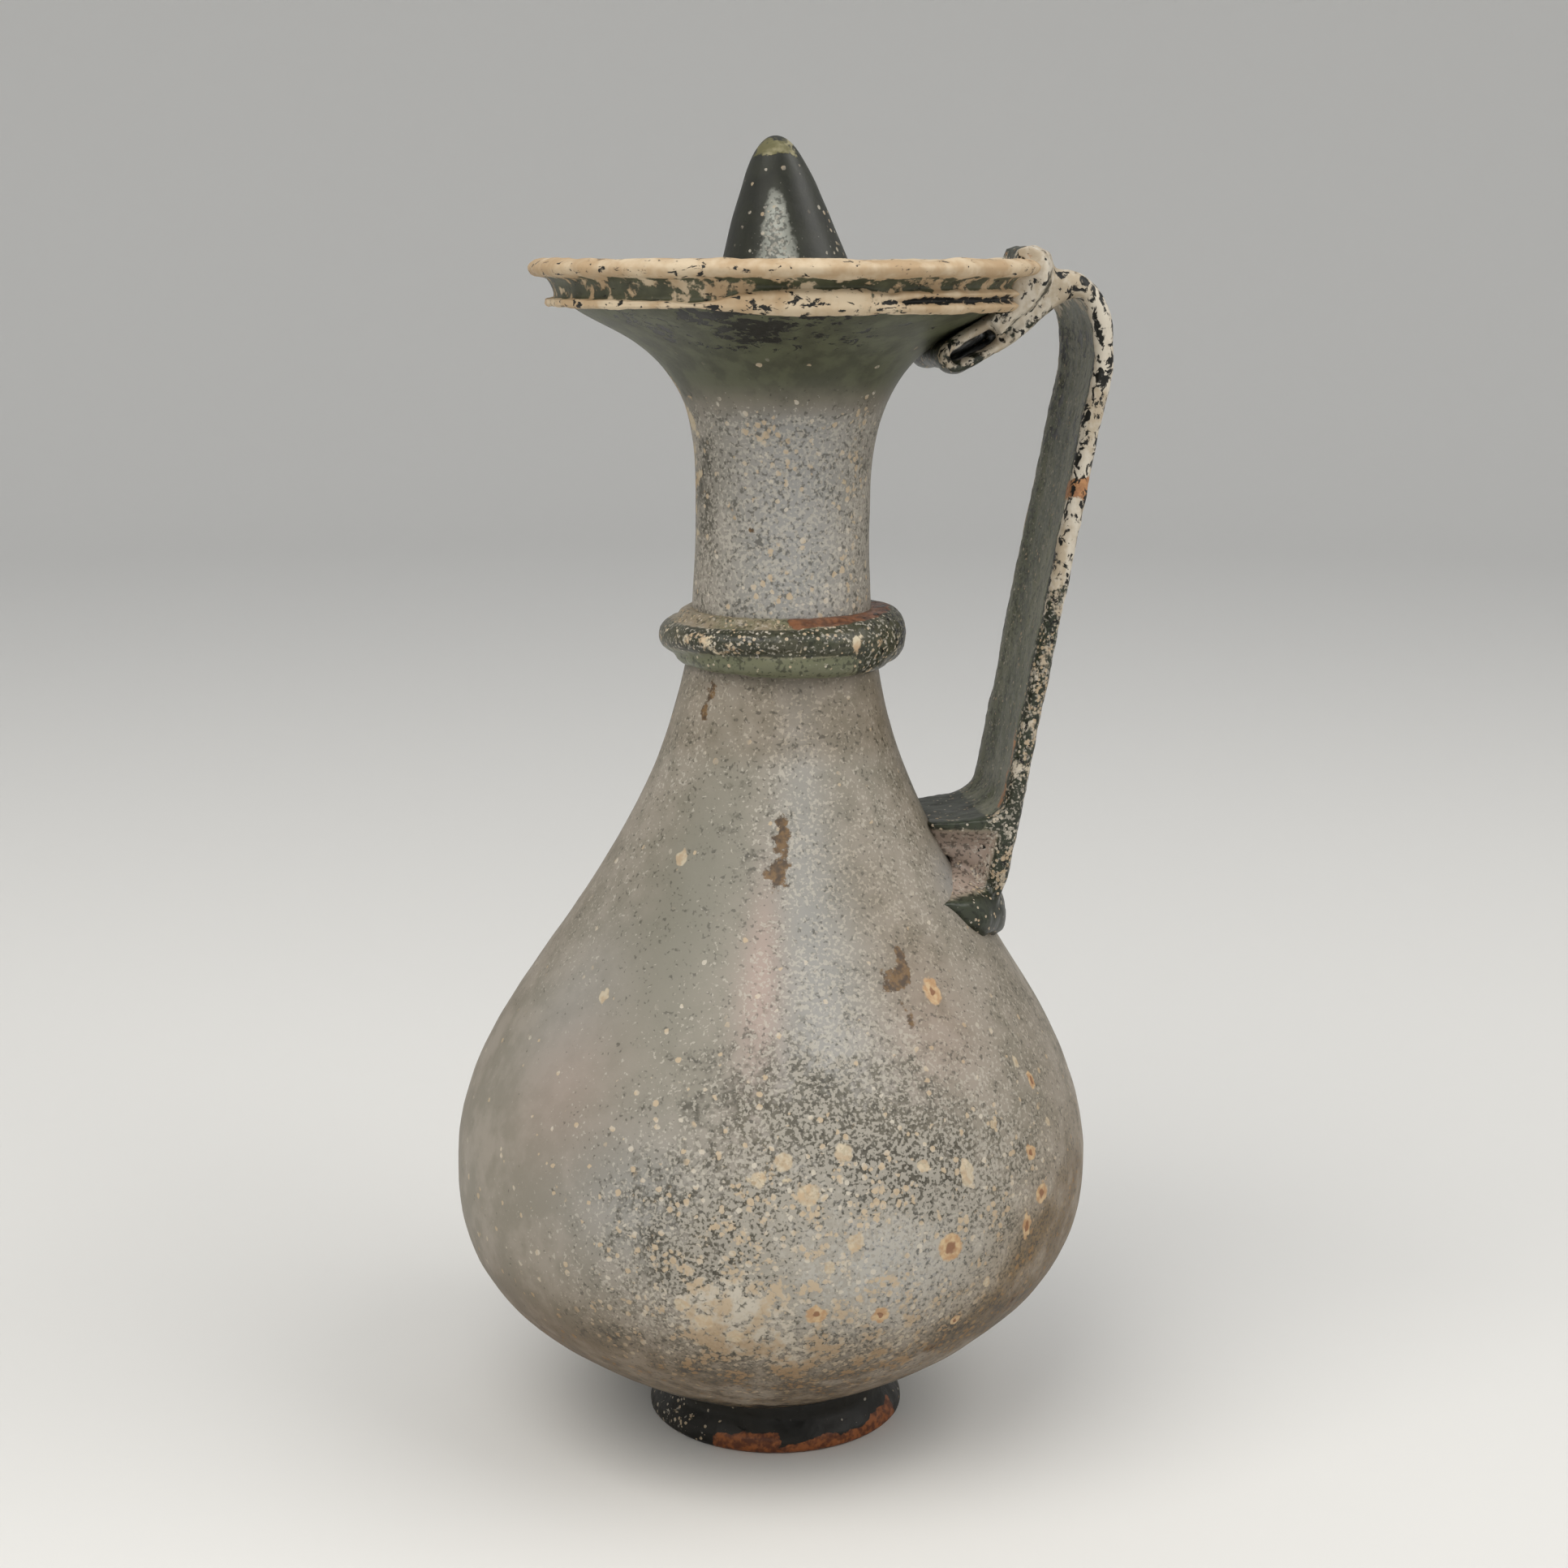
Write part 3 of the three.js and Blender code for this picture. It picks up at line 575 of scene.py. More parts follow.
# ---- Handle
def strap_stations():
    """The strap's middle line as x, height and thickness, and how many stations rise."""
    rim_x = ROLL_RADIUS + lean(RIM_HEIGHT)

    def on_shoulder(z):
        return surface(z) + lean(z)

    def at(x, z, thickness):
        return np.array([x, z, thickness], float)

    root = at(on_shoulder(PAD_BOTTOM) - STRAP_THICKNESS, PAD_BOTTOM + PAD_THICKNESS, STRAP_THICKNESS)
    foot = at(on_shoulder(STRAP_FOOT_HEIGHT) + STRAP_STANDOFF, STRAP_FOOT_HEIGHT, STRAP_THICKNESS)
    bend = at(rim_x + STRAP_REACH, RIM_HEIGHT - BEND_DROP, STRAP_THICKNESS)
    web = (WEB_HEIGHT - STRAP_FOOT_HEIGHT) / (bend[1] - foot[1])
    fillet = FILLET_HEIGHT / (bend[1] - foot[1])
    shares = np.concatenate([np.linspace(0, web + fillet, 22), np.linspace(web + fillet, 0.82, 16)[1:]])
    straight = [lerp(foot, bend, share) for share in shares]
    along = np.array([math.cos(math.radians(FOLD_RISE)), math.sin(math.radians(FOLD_RISE))])
    fold_height = RIM_HEIGHT - FOLD_DROP
    fold_x = on_shoulder(fold_height) + FOLD_REACH
    half = (FOLD_SLOT + FOLD_THICKNESS) / 2

    def near_fold(out, up):
        x = fold_x + out * along[0] - up * along[1]
        return at(x, fold_height + out * along[1] + up * along[0], FOLD_THICKNESS)

    turn = []
    for angle in np.linspace(-90, -270, 15):
        around = math.radians(angle)
        turn.append(near_fold(half * math.cos(around), half * math.sin(around)))
    crown = at(bend[0] - CROWN_INSET, RIM_HEIGHT - CROWN_DROP, STRAP_THICKNESS)
    landing = at(rim_x + STRAND_THICKNESS / 4, crown[1] + STRAND_THICKNESS / 4, LANDING_THICKNESS)
    lower = near_fold(FOLD_LENGTH, -half)
    lower[1] -= FOLD_SLOT / 2
    knots = [
        lerp(foot, bend, 0.78),
        lerp(foot, bend, 0.86),
        bend,
        at(bend[0] - CROWN_INSET * 0.2, lerp(bend[1], crown[1], 0.65), STRAP_THICKNESS),
        crown,
        landing,
        at(lerp(landing[0], lower[0], 0.5), lerp(landing[1], lower[1], 0.56), STRAP_THICKNESS * 0.85),
        lower,
        turn[0],
        turn[1],
    ]
    over = catmull(np.array(knots), 7)
    rising = len(straight) + 8
    return np.array([root, *straight, *over, *turn[1:], near_fold(FOLD_LENGTH, half)]), rising


RIBS = [
    (-1, 0), (-0.93, 0.4), (-0.78, 0.5), (-0.42, STRAP_WEB / 2), (0, 0.5), (0.42, STRAP_WEB / 2),
    (0.78, 0.5), (0.93, 0.4), (1, 0), (0.93, -0.4), (0.78, -0.5), (0.4, -STRAP_WEB / 2),
    (-0.4, -STRAP_WEB / 2), (-0.78, -0.5), (-0.93, -0.4),
]


def strap_shell():
    """The ribbed strap along its stations, with the web at its foot."""
    line, rising_count = strap_stations()
    section = np.array(RIBS)
    closed = np.concatenate([section[-1:], section, section[:2]])
    section = catmull(closed, 4)[:-1]
    rings = []
    for i, (x, z, thick) in enumerate(line):
        before, after = line[max(i - 1, 0)], line[min(i + 1, len(line) - 1)]
        along = (after - before)[:2]
        along /= np.linalg.norm(along)
        rising = i < rising_count
        share = float(np.clip(1 - (z - WEB_HEIGHT) / FILLET_HEIGHT, 0, 1)) ** 4
        gap = x - surface(min(z, NECK_HEIGHT)) - lean(z) + WALL / 2
        fillet = share * gap if rising else 0
        narrowing = WEB_NARROWING * share if rising else 0
        inward = float(np.clip((ROLL_RADIUS - x) / (ROLL_RADIUS - NECK_RADIUS), 0, 1))
        shift = 0 if rising else STRAND_SHIFT * inward
        across, deep = section[:, 0], section[:, 1]
        inner_side = smooth(-deep, 0, 0.12)
        depth = deep * thick - inner_side * fillet
        width = STRAP_WIDTH / 2 * (1 - inner_side * narrowing)
        rings.append(np.stack([x + along[1] * depth, across * width + shift, z - along[0] * depth], 1))
    return loft(rings)


def strand_shell():
    """The strand that climbs the rim and ends in the thumb rest."""
    t = STRAND_THICKNESS
    start = RIM_HEIGHT - FOLD_DROP + FOLD_LENGTH * math.sin(math.radians(FOLD_RISE))
    start_radius = surface(start)
    section = np.array([
        (start_radius + t * 0.9, start - t * 0.7),
        (BAND_RADIUS - t * 0.6, RIM_HEIGHT - LEAF_BOTTOM - t * 0.6),
        (BAND_RADIUS + t * 0.75, RIM_HEIGHT - LEAF_BOTTOM + t * 0.3),
        (ROLL_RADIUS + t * 0.5, RIM_HEIGHT - ROLL_DEPTH - t * 0.4),
        (ROLL_RADIUS + t * 0.55, RIM_HEIGHT - ROLL_DEPTH / 3),
        (ROLL_RADIUS + t * 0.2, RIM_HEIGHT + t * 0.5),
        (ROLL_RADIUS - t * 0.9, RIM_HEIGHT + t),
        (LIP_RADIUS + t * 0.2, RIM_HEIGHT + t * 0.75),
        (LIP_RADIUS - t * 0.2, RIM_HEIGHT - ROLL_DEPTH / 8),
        (RECESS_RADIUS, RIM_HEIGHT - ROLL_DEPTH),
        (start_radius, start + WALL / 2),
    ])
    rings = []
    for share in np.linspace(-0.5, 0.5, 25):
        y = STRAND_SHIFT + STRAND_WIDTH * share
        r, z = section[:, 0], section[:, 1]
        wrap = smooth(r, start_radius, BAND_RADIUS)
        rings.append(np.stack([np.sqrt(r**2 - (wrap * y) ** 2) + lean(z), np.full(len(r), y), z], 1))
    return loft(rings)


def pad_shell():
    """The pad on the shoulder, with a claw at either side."""
    def place(z, angle, depth):
        rise = (surface(z + 1) - surface(z - 1)) / 2
        steep = math.hypot(1, rise)
        r = surface(z) + depth / steep
        around = math.radians(angle)
        return r * math.cos(around) + lean(z), r * math.sin(around), z - depth * rise / steep

    section = catmull(np.array([
        (0, -1), (0, 0.35), (0.22, 0.9), (0.5, 1), (0.8, 0.75), (1, 0.2), (1, -1),
    ]), 4)
    section = np.concatenate([[(0, -1)], section, [(1, -1)]])
    rings = []
    for u in np.linspace(-1, 1, 49):
        side = abs(u)
        claw = float(smooth(side, 0.6, 1))
        lobes = PAD_LOBE * (1 + math.cos(2 * math.pi * side / 0.6)) * (1 - claw)
        bottom = lerp(PAD_BOTTOM, PAD_CLAW_HEIGHT - PAD_CLAW_THICKNESS, claw) + lobes
        top = lerp(PAD_TOP, PAD_CLAW_HEIGHT, min(side * 1.1, 1) ** 2)
        thickness = lerp(PAD_THICKNESS, PAD_CLAW_THICKNESS, side**2.2)
        rings.append(np.array([
            place(lerp(bottom, top, up), u * PAD_ANGLE, -WALL / 2 if deep < 0 else deep * thickness)
            for up, deep in section
        ]))
    return loft(rings)


# ---- Lid
def make_lid():
    """The hollow cone, where the solid lid stands."""
    node_low, node_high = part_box("lid")
    tip = (0, LID_HEIGHT)
    curve = bezier(
        tip, (LID_TIP_PULL, LID_HEIGHT), (LID_WAIST, LID_WAIST_HEIGHT), (LID_RADIUS - LID_EDGE, LID_EDGE * 2), 46
    )
    edge = []
    for turn in np.linspace(60, -180, 17):
        around = math.radians(turn)
        r = LID_RADIUS - LID_EDGE + LID_EDGE * math.cos(around)
        edge.append((r, LID_EDGE + LID_EDGE * math.sin(around)))
    hollow = moved(curve[::2], LID_WALL)[:-1]
    profile = np.concatenate([curve[:-1], edge, hollow[::-1]])
    count = 160
    points, faces = turned([profile] * count, np.arange(count) * 360 / count)
    faces = [f[::-1] for f in faces]
    rows = len(profile) - 2
    row = np.append(np.repeat(np.arange(rows), count), [0, rows])
    outside = row < len(curve) + 12
    local = points.copy()
    tilt = math.radians(-LID_TILT)
    x = points[:, 0] * math.cos(tilt) + points[:, 2] * math.sin(tilt)
    z = -points[:, 0] * math.sin(tilt) + points[:, 2] * math.cos(tilt)
    points = np.stack([x, points[:, 1], z], 1)
    normal = normals_of(points, faces)
    mid = noise_at(points, 9, 12)
    points = points + normal * ((0.16 * noise_at(points, 16, 11) + 0.06 * mid) - 0.12)[:, None]
    # The box of the CAD's own lid says where the lid stands.
    points[:, 0] += node_high.x * 1000 - points[:, 0].max()
    low, high = points[:, 2].min(), points[:, 2].max()
    share = (points[:, 2] - low) / (high - low)
    points[:, 2] = lerp(node_low.z * 1000 + 0.15, node_high.z * 1000 - 0.05, share)
    angle = np.degrees(np.arctan2(local[:, 0], -local[:, 1]))
    up = local[:, 2]
    # Painted highlight: a pale frosted band up the lid's front, left of middle, with its own grains and specks,
    # shown in the film tones.
    spread = lerp(25, 14, smooth(up, 8, 36))
    haze_and_highlight = np.exp(-(((angle + 14) / spread) ** 2)) * smooth(up, 2, 10) * (1 - smooth(up, 30, 39))
    right_edge = hump(angle, up, 64, 24, 16, 12)
    fields = {
        "clear": 0.98 - 1.3 * haze_and_highlight, "cool_film_and_highlight": 0.4 * haze_and_highlight, "grain": 0.12 + 0.06 * mid + 0.36 * haze_and_highlight,
        "speck": 0.2 + 0.34 * haze_and_highlight,
        "cream": 0.02 + 0.05 * haze_and_highlight + 0.3 * right_edge + 0.16 * hump(angle, up, -40, 30, 20, 5),
        "crust": 0.5 * smooth(up, 39, 43) + 0.42 * right_edge, "dark": 0.06,
        "olive": 1.0 - haze_and_highlight,
    }
    return new_piece("hollow_lid", points, faces, fields)


# ---- Materials
class Shader:
    """A material whose nodes are added one by one; a socket or a plain number can be an input."""

    def __init__(self, name):
        self.material = bpy.data.materials.new(name)
        self.material.use_nodes = True
        self.tree = self.material.node_tree
        self.tree.nodes.clear()

    def node(self, kind, inputs=(), **settings):
        node = self.tree.nodes.new(kind)
        for key, value in settings.items():
            setattr(node, key, value)
        for key, value in dict(inputs).items():
            self.feed(node, key, value)
        return node

    def feed(self, node, key, value):
        if isinstance(value, bpy.types.NodeSocket):
            self.tree.links.new(value, node.inputs[key])
        else:
            node.inputs[key].default_value = value

    def math(self, operation, a, b=0.0, c=0.0):
        inputs = {0: a, 1: b, 2: c} if operation == "MULTIPLY_ADD" else {0: a, 1: b}
        return self.node("ShaderNodeMath", inputs, operation=operation).outputs[0]

    def times(self, a, b):
        return self.math("MULTIPLY", a, b)

    def weigh(self, a, share, rest):
        """a * share + rest."""
        return self.math("MULTIPLY_ADD", a, share, rest)

    def field(self, name):
        return self.node("ShaderNodeAttribute", attribute_name=name).outputs["Fac"]

    def step(self, x, low, high, start=0.0, end=1.0):
        inputs = {"Value": x, "From Min": low, "From Max": high, "To Min": start, "To Max": end}
        node = self.node("ShaderNodeMapRange", inputs, interpolation_type="SMOOTHSTEP")
        return node.outputs["Result"]

    def place(self, stretch=(1, 1, 1), shift=(0, 0, 0)):
        """Where a point lies on the piece, in millimetres."""
        coordinates = self.node("ShaderNodeTexCoord").outputs["Object"]
        scale = tuple(1000 * s for s in stretch)
        inputs = {"Vector": coordinates, "Scale": scale, "Location": shift}
        return self.node("ShaderNodeMapping", inputs).outputs["Vector"]

    def noise(self, size, detail=3.0, roughness=0.55, distortion=0.0, seed=0.0, stretch=(1, 1, 1)):
        """Noise round 0.5 whose largest forms are about so many millimetres wide."""
        inputs = {
            "Vector": self.place(stretch, (seed * 17.3, seed * 9.1, seed * 5.7)), "Scale": 1 / size,
            "Detail": detail, "Roughness": roughness, "Distortion": distortion,
        }
        return self.node("ShaderNodeTexNoise", inputs).outputs[0]

    def cells(self, size, seed):
        """Distance to the middle of a cell, in cells, and a random value for the cell."""
        inputs = {
            "Vector": self.place(shift=(seed * 11.9, seed * 4.3, seed * 8.7)),
            "Scale": 1 / size, "Randomness": 1.0,
        }
        node = self.node("ShaderNodeTexVoronoi", inputs)
        share = self.node("ShaderNodeSeparateColor", {0: node.outputs["Color"]}).outputs[0]
        return node.outputs["Distance"], share

    def mix(self, share, a, b, blend="MIX"):
        """Colour b over colour a; 0, 6 and 7 are the colour sockets of the mix node."""
        node = self.node("ShaderNodeMix", data_type="RGBA", blend_type=blend)
        for slot, value in ((0, share), (6, a), (7, b)):
            self.feed(node, slot, value)
        return node.outputs[2]

    def within(self, noise, share, soft=0.04):
        """1 where the noise says that a share of the surface is covered."""
        edge = self.weigh(share, -0.62, 0.81)
        over = self.math("SUBTRACT", noise, edge)
        return self.step(over, -soft, soft)


def rgb(red, green, blue):
    """A colour from sRGB values of 0 to 255."""
    def linear(c):
        c /= 255
        return c / 12.92 if c <= 0.04045 else ((c + 0.055) / 1.055) ** 2.4

    return (linear(red), linear(green), linear(blue), 1.0)


# Middle of each round spot on the body: angle, height and radius. Ring spots have a brown core.
RING_SPOTS = (
    (23.4, 54.5, 2.6), (44.3, 66.7, 1.5), (46.2, 58.4, 1.9), (-0.4, 44.9, 1.9), (10.9, 43.6, 1.6),
    (27.0, 38.5, 1.1), (150, 60, 1.8), (205, 74, 1.5), (232, 48, 2.0),
)
PLAIN_SPOTS = (
    (18.7, 69.9, 1.2), (5.9, 58.5, 1.5), (4.3, 74.0, 1.7), (-2.0, 67.2, 2.1), (-6.4, 72.8, 1.7),
    (-10.5, 70.0, 1.4), (32.5, 45.0, 1.0), (36.0, 74.0, 1.0), (-19, 43.5, 1.7), (-23, 46.5, 1.4),
    (-14, 40.5, 1.6), (1.5, 54.0, 1.2), (52, 70, 0.9), (130, 52, 1.6), (170, 80, 1.2), (250, 62, 1.5),
)
TALL_SPOTS = ((31.8, 97.1, 1.9), (41.6, 53.6, 1.3), (51.0, 78.0, 1.1), (176, 88, 1.6))
TALL_PLAIN_SPOTS = ((27.6, 67.2, 1.5), (48, 82, 0.9), (-44, 120, 1.2), (-52, 96, 1.0))
TALLNESS = 0.55


def on_body(angle, z):
    """The point of the body's skin at an angle and a height."""
    around, r = math.radians(angle), float(surface(z))
    return (r * math.sin(around) + AXIS_X + float(lean(z)), -r * math.cos(around), z)


def nearest_spot(s, round_spots, tall_spots):
    """Distance to the nearest spot, in its radii, a little uneven."""
    nearest = 9.0
    uneven = s.node("ShaderNodeTexNoise", {"Vector": s.place(), "Scale": 0.7, "Detail": 1.0}).outputs["Color"]
    wobble = s.node("ShaderNodeVectorMath", {0: uneven, 1: (1.5, 1.5, 1.5)}, operation="MULTIPLY").outputs[0]
    for spots, stretch in ((round_spots, 1), (tall_spots, TALLNESS)):
        here = s.node("ShaderNodeVectorMath", {0: s.place((1, 1, stretch)), 1: wobble}, operation="ADD")
        for angle, z, radius in spots:
            x, y, z = on_body(angle, z)
            middle = (x + 0.75, y + 0.75, z * stretch + 0.75)
            apart = s.node("ShaderNodeVectorMath", {0: here.outputs[0], 1: middle}, operation="DISTANCE")
            nearest = s.math("MINIMUM", nearest, s.math("DIVIDE", apart.outputs["Value"], radius))
    return nearest


BROWN_TINT = (0.50, 0.37, 0.22, 1.0)


def weathered(name, ground, deep, film, crust, rust, rim_crust=None, fleck=1.7, flake=(2.2, (1, 1, 1.9)),
              transmission=0.0, roughness=0.5, sheen=0.5, spots=False, along=(1, 1, 1)):
    """Weathered glass: bare glass under a grey film, with grains, crust, rust and dark flakes; in places the
    dark flakes paint shade.

    Each colour is a pair of tones that noise mixes. film also has a cool tone and a grey one; the cool tone also
    paints highlight bands.
    The piece's fields say how much of each lies where, and noise gives it its edge.
    """
    s = Shader(name)
    broad, middle = s.noise(16, 2, 0.55, seed=3), s.noise(5, 3, 0.6, seed=1, stretch=along)
    fine, finest = s.noise(1.5, 2, 0.62, seed=2), s.noise(0.68, 1, 0.6, seed=12)
    bare = s.mix(s.step(broad, 0.38, 0.62), rgb(*ground[0]), rgb(*ground[1]))
    bare = s.mix(s.field("olive"), bare, s.mix(s.step(middle, 0.38, 0.62), rgb(*deep[0]), rgb(*deep[1])))
    drift = s.weigh(middle, 0.5, s.times(broad, 0.5))
    haze_and_highlight = s.mix(s.step(drift, 0.4, 0.6), rgb(*film[0]), rgb(*film[1]))
    haze_and_highlight = s.mix(s.field("grey"), haze_and_highlight, rgb(*film[3]))
    # The cool tone is partly a cool film and partly a painted highlight.
    haze_and_highlight = s.mix(s.field("cool_film_and_highlight"), haze_and_highlight, rgb(*film[2]))
    haze_and_highlight = s.mix(s.field("pink"), haze_and_highlight, rgb(164, 144, 134))
    haze_and_highlight = s.mix(s.times(s.field("olive"), 0.94), haze_and_highlight, bare)
    pattern = s.weigh(fine, 0.45, s.weigh(middle, 0.35, s.times(broad, 0.2)))
    colour = s.mix(s.times(s.within(pattern, s.field("clear"), 0.09), 0.85), haze_and_highlight, bare)
    # Fine dark specks, then pale grains and larger cream flecks.
    dots = s.weigh(s.noise(0.9, 1, 0.6, seed=13), 0.75, s.times(middle, 0.25))
    specks = s.within(dots, s.field("speck"), 0.05)
    colour = s.mix(s.times(specks, 0.6), colour, s.mix(0.5, rgb(*ground[1]), rgb(24, 22, 16)))
    grains = s.within(s.weigh(finest, 0.7, s.times(fine, 0.3)), s.field("grain"), 0.05)
    colour = s.mix(s.times(grains, 0.6), colour, rgb(182, 176, 164))
    apart, lot = s.cells(fleck, 1)
    edge = s.weigh(lot, -0.28, s.weigh(fine, 0.8, apart))
    share = s.times(s.field("cream"), s.step(middle, 0.36, 0.6, 0.5, 2.2))
    chosen = s.step(s.math("SUBTRACT", s.times(share, 0.6), lot), -0.02, 0.02)
    flecks = s.times(s.step(edge, 0.76, 0.68), chosen)
    ragged = s.weigh(fine, 0.65, s.times(middle, 0.35))
    flecks = s.math("MAXIMUM", flecks, s.within(ragged, s.times(s.field("cream"), 0.78), 0.035))
    fleck_colour = s.mix(s.step(middle, 0.42, 0.58), rgb(196, 188, 173), rgb(186, 166, 138))
    colour = s.mix(s.times(flecks, 0.82), colour, fleck_colour)
    brown = s.times(s.field("brown"), s.step(drift, 0.32, 0.56, 0.5, 1.0))
    colour = s.mix(brown, colour, BROWN_TINT, "MULTIPLY")
    crusted = s.within(s.noise(3.6, 4, 0.62, seed=5), s.field("crust"), 0.04)
    tone = s.step(s.weigh(middle, 0.7, s.times(fine, 0.3)), 0.4, 0.6)
    crust_colour = s.mix(tone, rgb(*crust[0]), rgb(*crust[1]))
    if rim_crust:
        tone = s.step(drift, 0.42, 0.6)
        crust_colour = s.mix(s.field("olive"), crust_colour, s.mix(tone, rgb(*rim_crust[0]), rgb(*rim_crust[1])))
    crust_colour = s.mix(s.times(brown, 0.35), crust_colour, BROWN_TINT, "MULTIPLY")
    colour = s.mix(s.times(crusted, 0.95), colour, crust_colour)
    height = s.times(crusted, 0.3)
    if spots:
        near = nearest_spot(s, PLAIN_SPOTS, TALL_PLAIN_SPOTS)
        plain = s.step(near, 1.1, 0.85)
        plain_colour = s.mix(s.step(fine, 0.35, 0.65), rgb(198, 184, 158), rgb(182, 158, 126))
        colour = s.mix(s.times(plain, 0.7), colour, plain_colour)
        near = nearest_spot(s, RING_SPOTS, TALL_SPOTS)
        ring, core = s.step(near, 1.12, 0.88), s.step(near, 0.5, 0.3)
        ring_colour = s.mix(s.step(fine, 0.35, 0.65), rgb(196, 168, 128), rgb(172, 132, 90))
        colour = s.mix(s.times(ring, 0.85), colour, s.mix(core, ring_colour, rgb(128, 82, 46)))
    rusted = s.within(s.noise(2.4, 4, 0.66, seed=7), s.field("rust"), 0.05)
    rust_colour = s.mix(s.step(fine, 0.36, 0.64), rgb(*rust[0]), rgb(*rust[1]))
    colour = s.mix(s.times(rusted, 0.92), colour, rust_colour)
    # Dark flakes, which also paint shade where the dark field is high at the body's foot and in the rim's recess
    # and groove.
    flakes_and_shade = s.within(s.noise(flake[0], 4, 0.6, 0.5, seed=9, stretch=flake[1]), s.field("dark"), 0.025)
    colour = s.mix(flakes_and_shade, colour, rgb(15, 15, 10))
    rough = s.weigh(s.math("MAXIMUM", s.math("MAXIMUM", grains, flecks), crusted), 0.2, roughness)
    rough = s.weigh(flakes_and_shade, -0.1, rough)
    height = s.weigh(fine, 0.1, s.weigh(flakes_and_shade, -0.25, height))
    relief = s.node("ShaderNodeBump", {"Strength": 0.5, "Distance": 0.001, "Height": height})
    shader = s.node("ShaderNodeBsdfPrincipled", {
        "Base Color": colour, "Roughness": rough, "Normal": relief.outputs[0],
        "Transmission Weight": transmission, "IOR": 1.48, "Specular IOR Level": sheen,
    })
    output = s.node("ShaderNodeOutputMaterial")
    s.tree.links.new(shader.outputs[0], output.inputs["Surface"])
    return s.material


SOIL_RUST = ((108, 80, 42), (60, 42, 22))
body_glass = weathered(
    "weathered_glass", ((82, 77, 63), (62, 58, 46)), ((74, 78, 54), (56, 59, 39)),
    ((146, 138, 126), (129, 123, 110), (148, 149, 148), (118, 115, 102)),
    ((190, 176, 150), (170, 149, 118)), SOIL_RUST, ((206, 188, 160), (182, 156, 122)), 1.5, spots=True,
)
# The lid's film tones only show in its painted highlight band.
lid_glass = weathered(
    "lid_glass", ((26, 28, 12), (19, 21, 9)), ((26, 28, 12), (19, 21, 9)),
    ((186, 188, 178), (158, 160, 148), (190, 193, 188), (100, 100, 80)),
    ((150, 143, 112), (98, 94, 60)), SOIL_RUST, fleck=1.1, transmission=0.08, roughness=0.46, sheen=0.18,
)
trail_glass = weathered(
    "trail_glass", ((44, 50, 34), (26, 30, 20)), ((44, 50, 34), (26, 30, 20)),
    ((146, 134, 114), (116, 116, 94), (150, 150, 150), (100, 103, 80)), ((206, 194, 168), (184, 156, 124)),
    ((124, 80, 54), (82, 50, 34)), fleck=0.85, roughness=0.38, sheen=0.4,
)
handle_glass = weathered(
    "handle_glass", ((34, 44, 32), (19, 25, 18)), ((34, 44, 32), (19, 25, 18)),
    ((114, 115, 94), (90, 94, 71), (150, 150, 150), (100, 103, 80)), ((204, 196, 181), (176, 162, 140)),
    ((172, 120, 72), (134, 86, 48)), fleck=0.8, flake=(1.7, (1, 1, 0.8)), roughness=0.38, sheen=0.4,
    along=(1, 1, 0.3),
)
foot_glass = weathered(
    "foot_glass", ((20, 18, 13), (12, 11, 8)), ((20, 18, 13), (12, 11, 8)),
    ((60, 54, 40), (40, 36, 26), (90, 90, 84), (60, 60, 50)), ((170, 160, 140), (120, 100, 76)),
    ((150, 88, 46), (92, 50, 28)), fleck=0.9, roughness=0.45, sheen=0.35,
)


def finish_collar(piece):
    """Soil from the neck lies on its top at the front and left, red-brown soil to the right."""
    points, normal = points_of(piece), normals_at(piece)
    points[:, 0] += AXIS_X
    points += normal * (0.18 * noise_at(points, 5, 21) + 0.06 * noise_at(points, 1.6, 25) - 0.12)[:, None]
    angle, z = angle_of(points), points[:, 2]
    on_top = smooth(normal[:, 2], 0.2, 0.55)
    standing = np.hypot(points[:, 0] - AXIS_X - lean(z), points[:, 1]) - surface(z)
    low_turn = (1 - smooth(z, 157.2, 158.4)) * window(angle, -80, 24, 16)
    soil = on_top * window(angle, -150, 12, 20) * (1 - smooth(standing, 3.2, 5.0))
    red = on_top * window(angle, 2, 96, 12) * (1 - smooth(standing, 2.6, 4.8))
    fields = {
        "grey": 0.9 * low_turn, "clear": 0.95 - 0.85 * soil - 0.85 * low_turn,
        "grain": 0.36 - 0.16 * low_turn, "speck": 0.4,
        "cream": 0.3 - 0.24 * low_turn + 0.2 * noise_at(points, 8, 26), "brown": 0.3 * soil,
        "crust": 0.2 + 0.24 * hump(angle, z, -42, 159, 26, 3) + 0.16 * hump(angle, z, 34, 160, 14, 3)
        - 0.1 * low_turn,
        "rust": 0.05 + 0.95 * red, "dark": 0.16 + 0.34 * hump(angle, z, 74, 160, 22, 7) - 0.1 * low_turn,
    }
    finish_piece(piece, points, fields, "neck_collar", trail_glass)


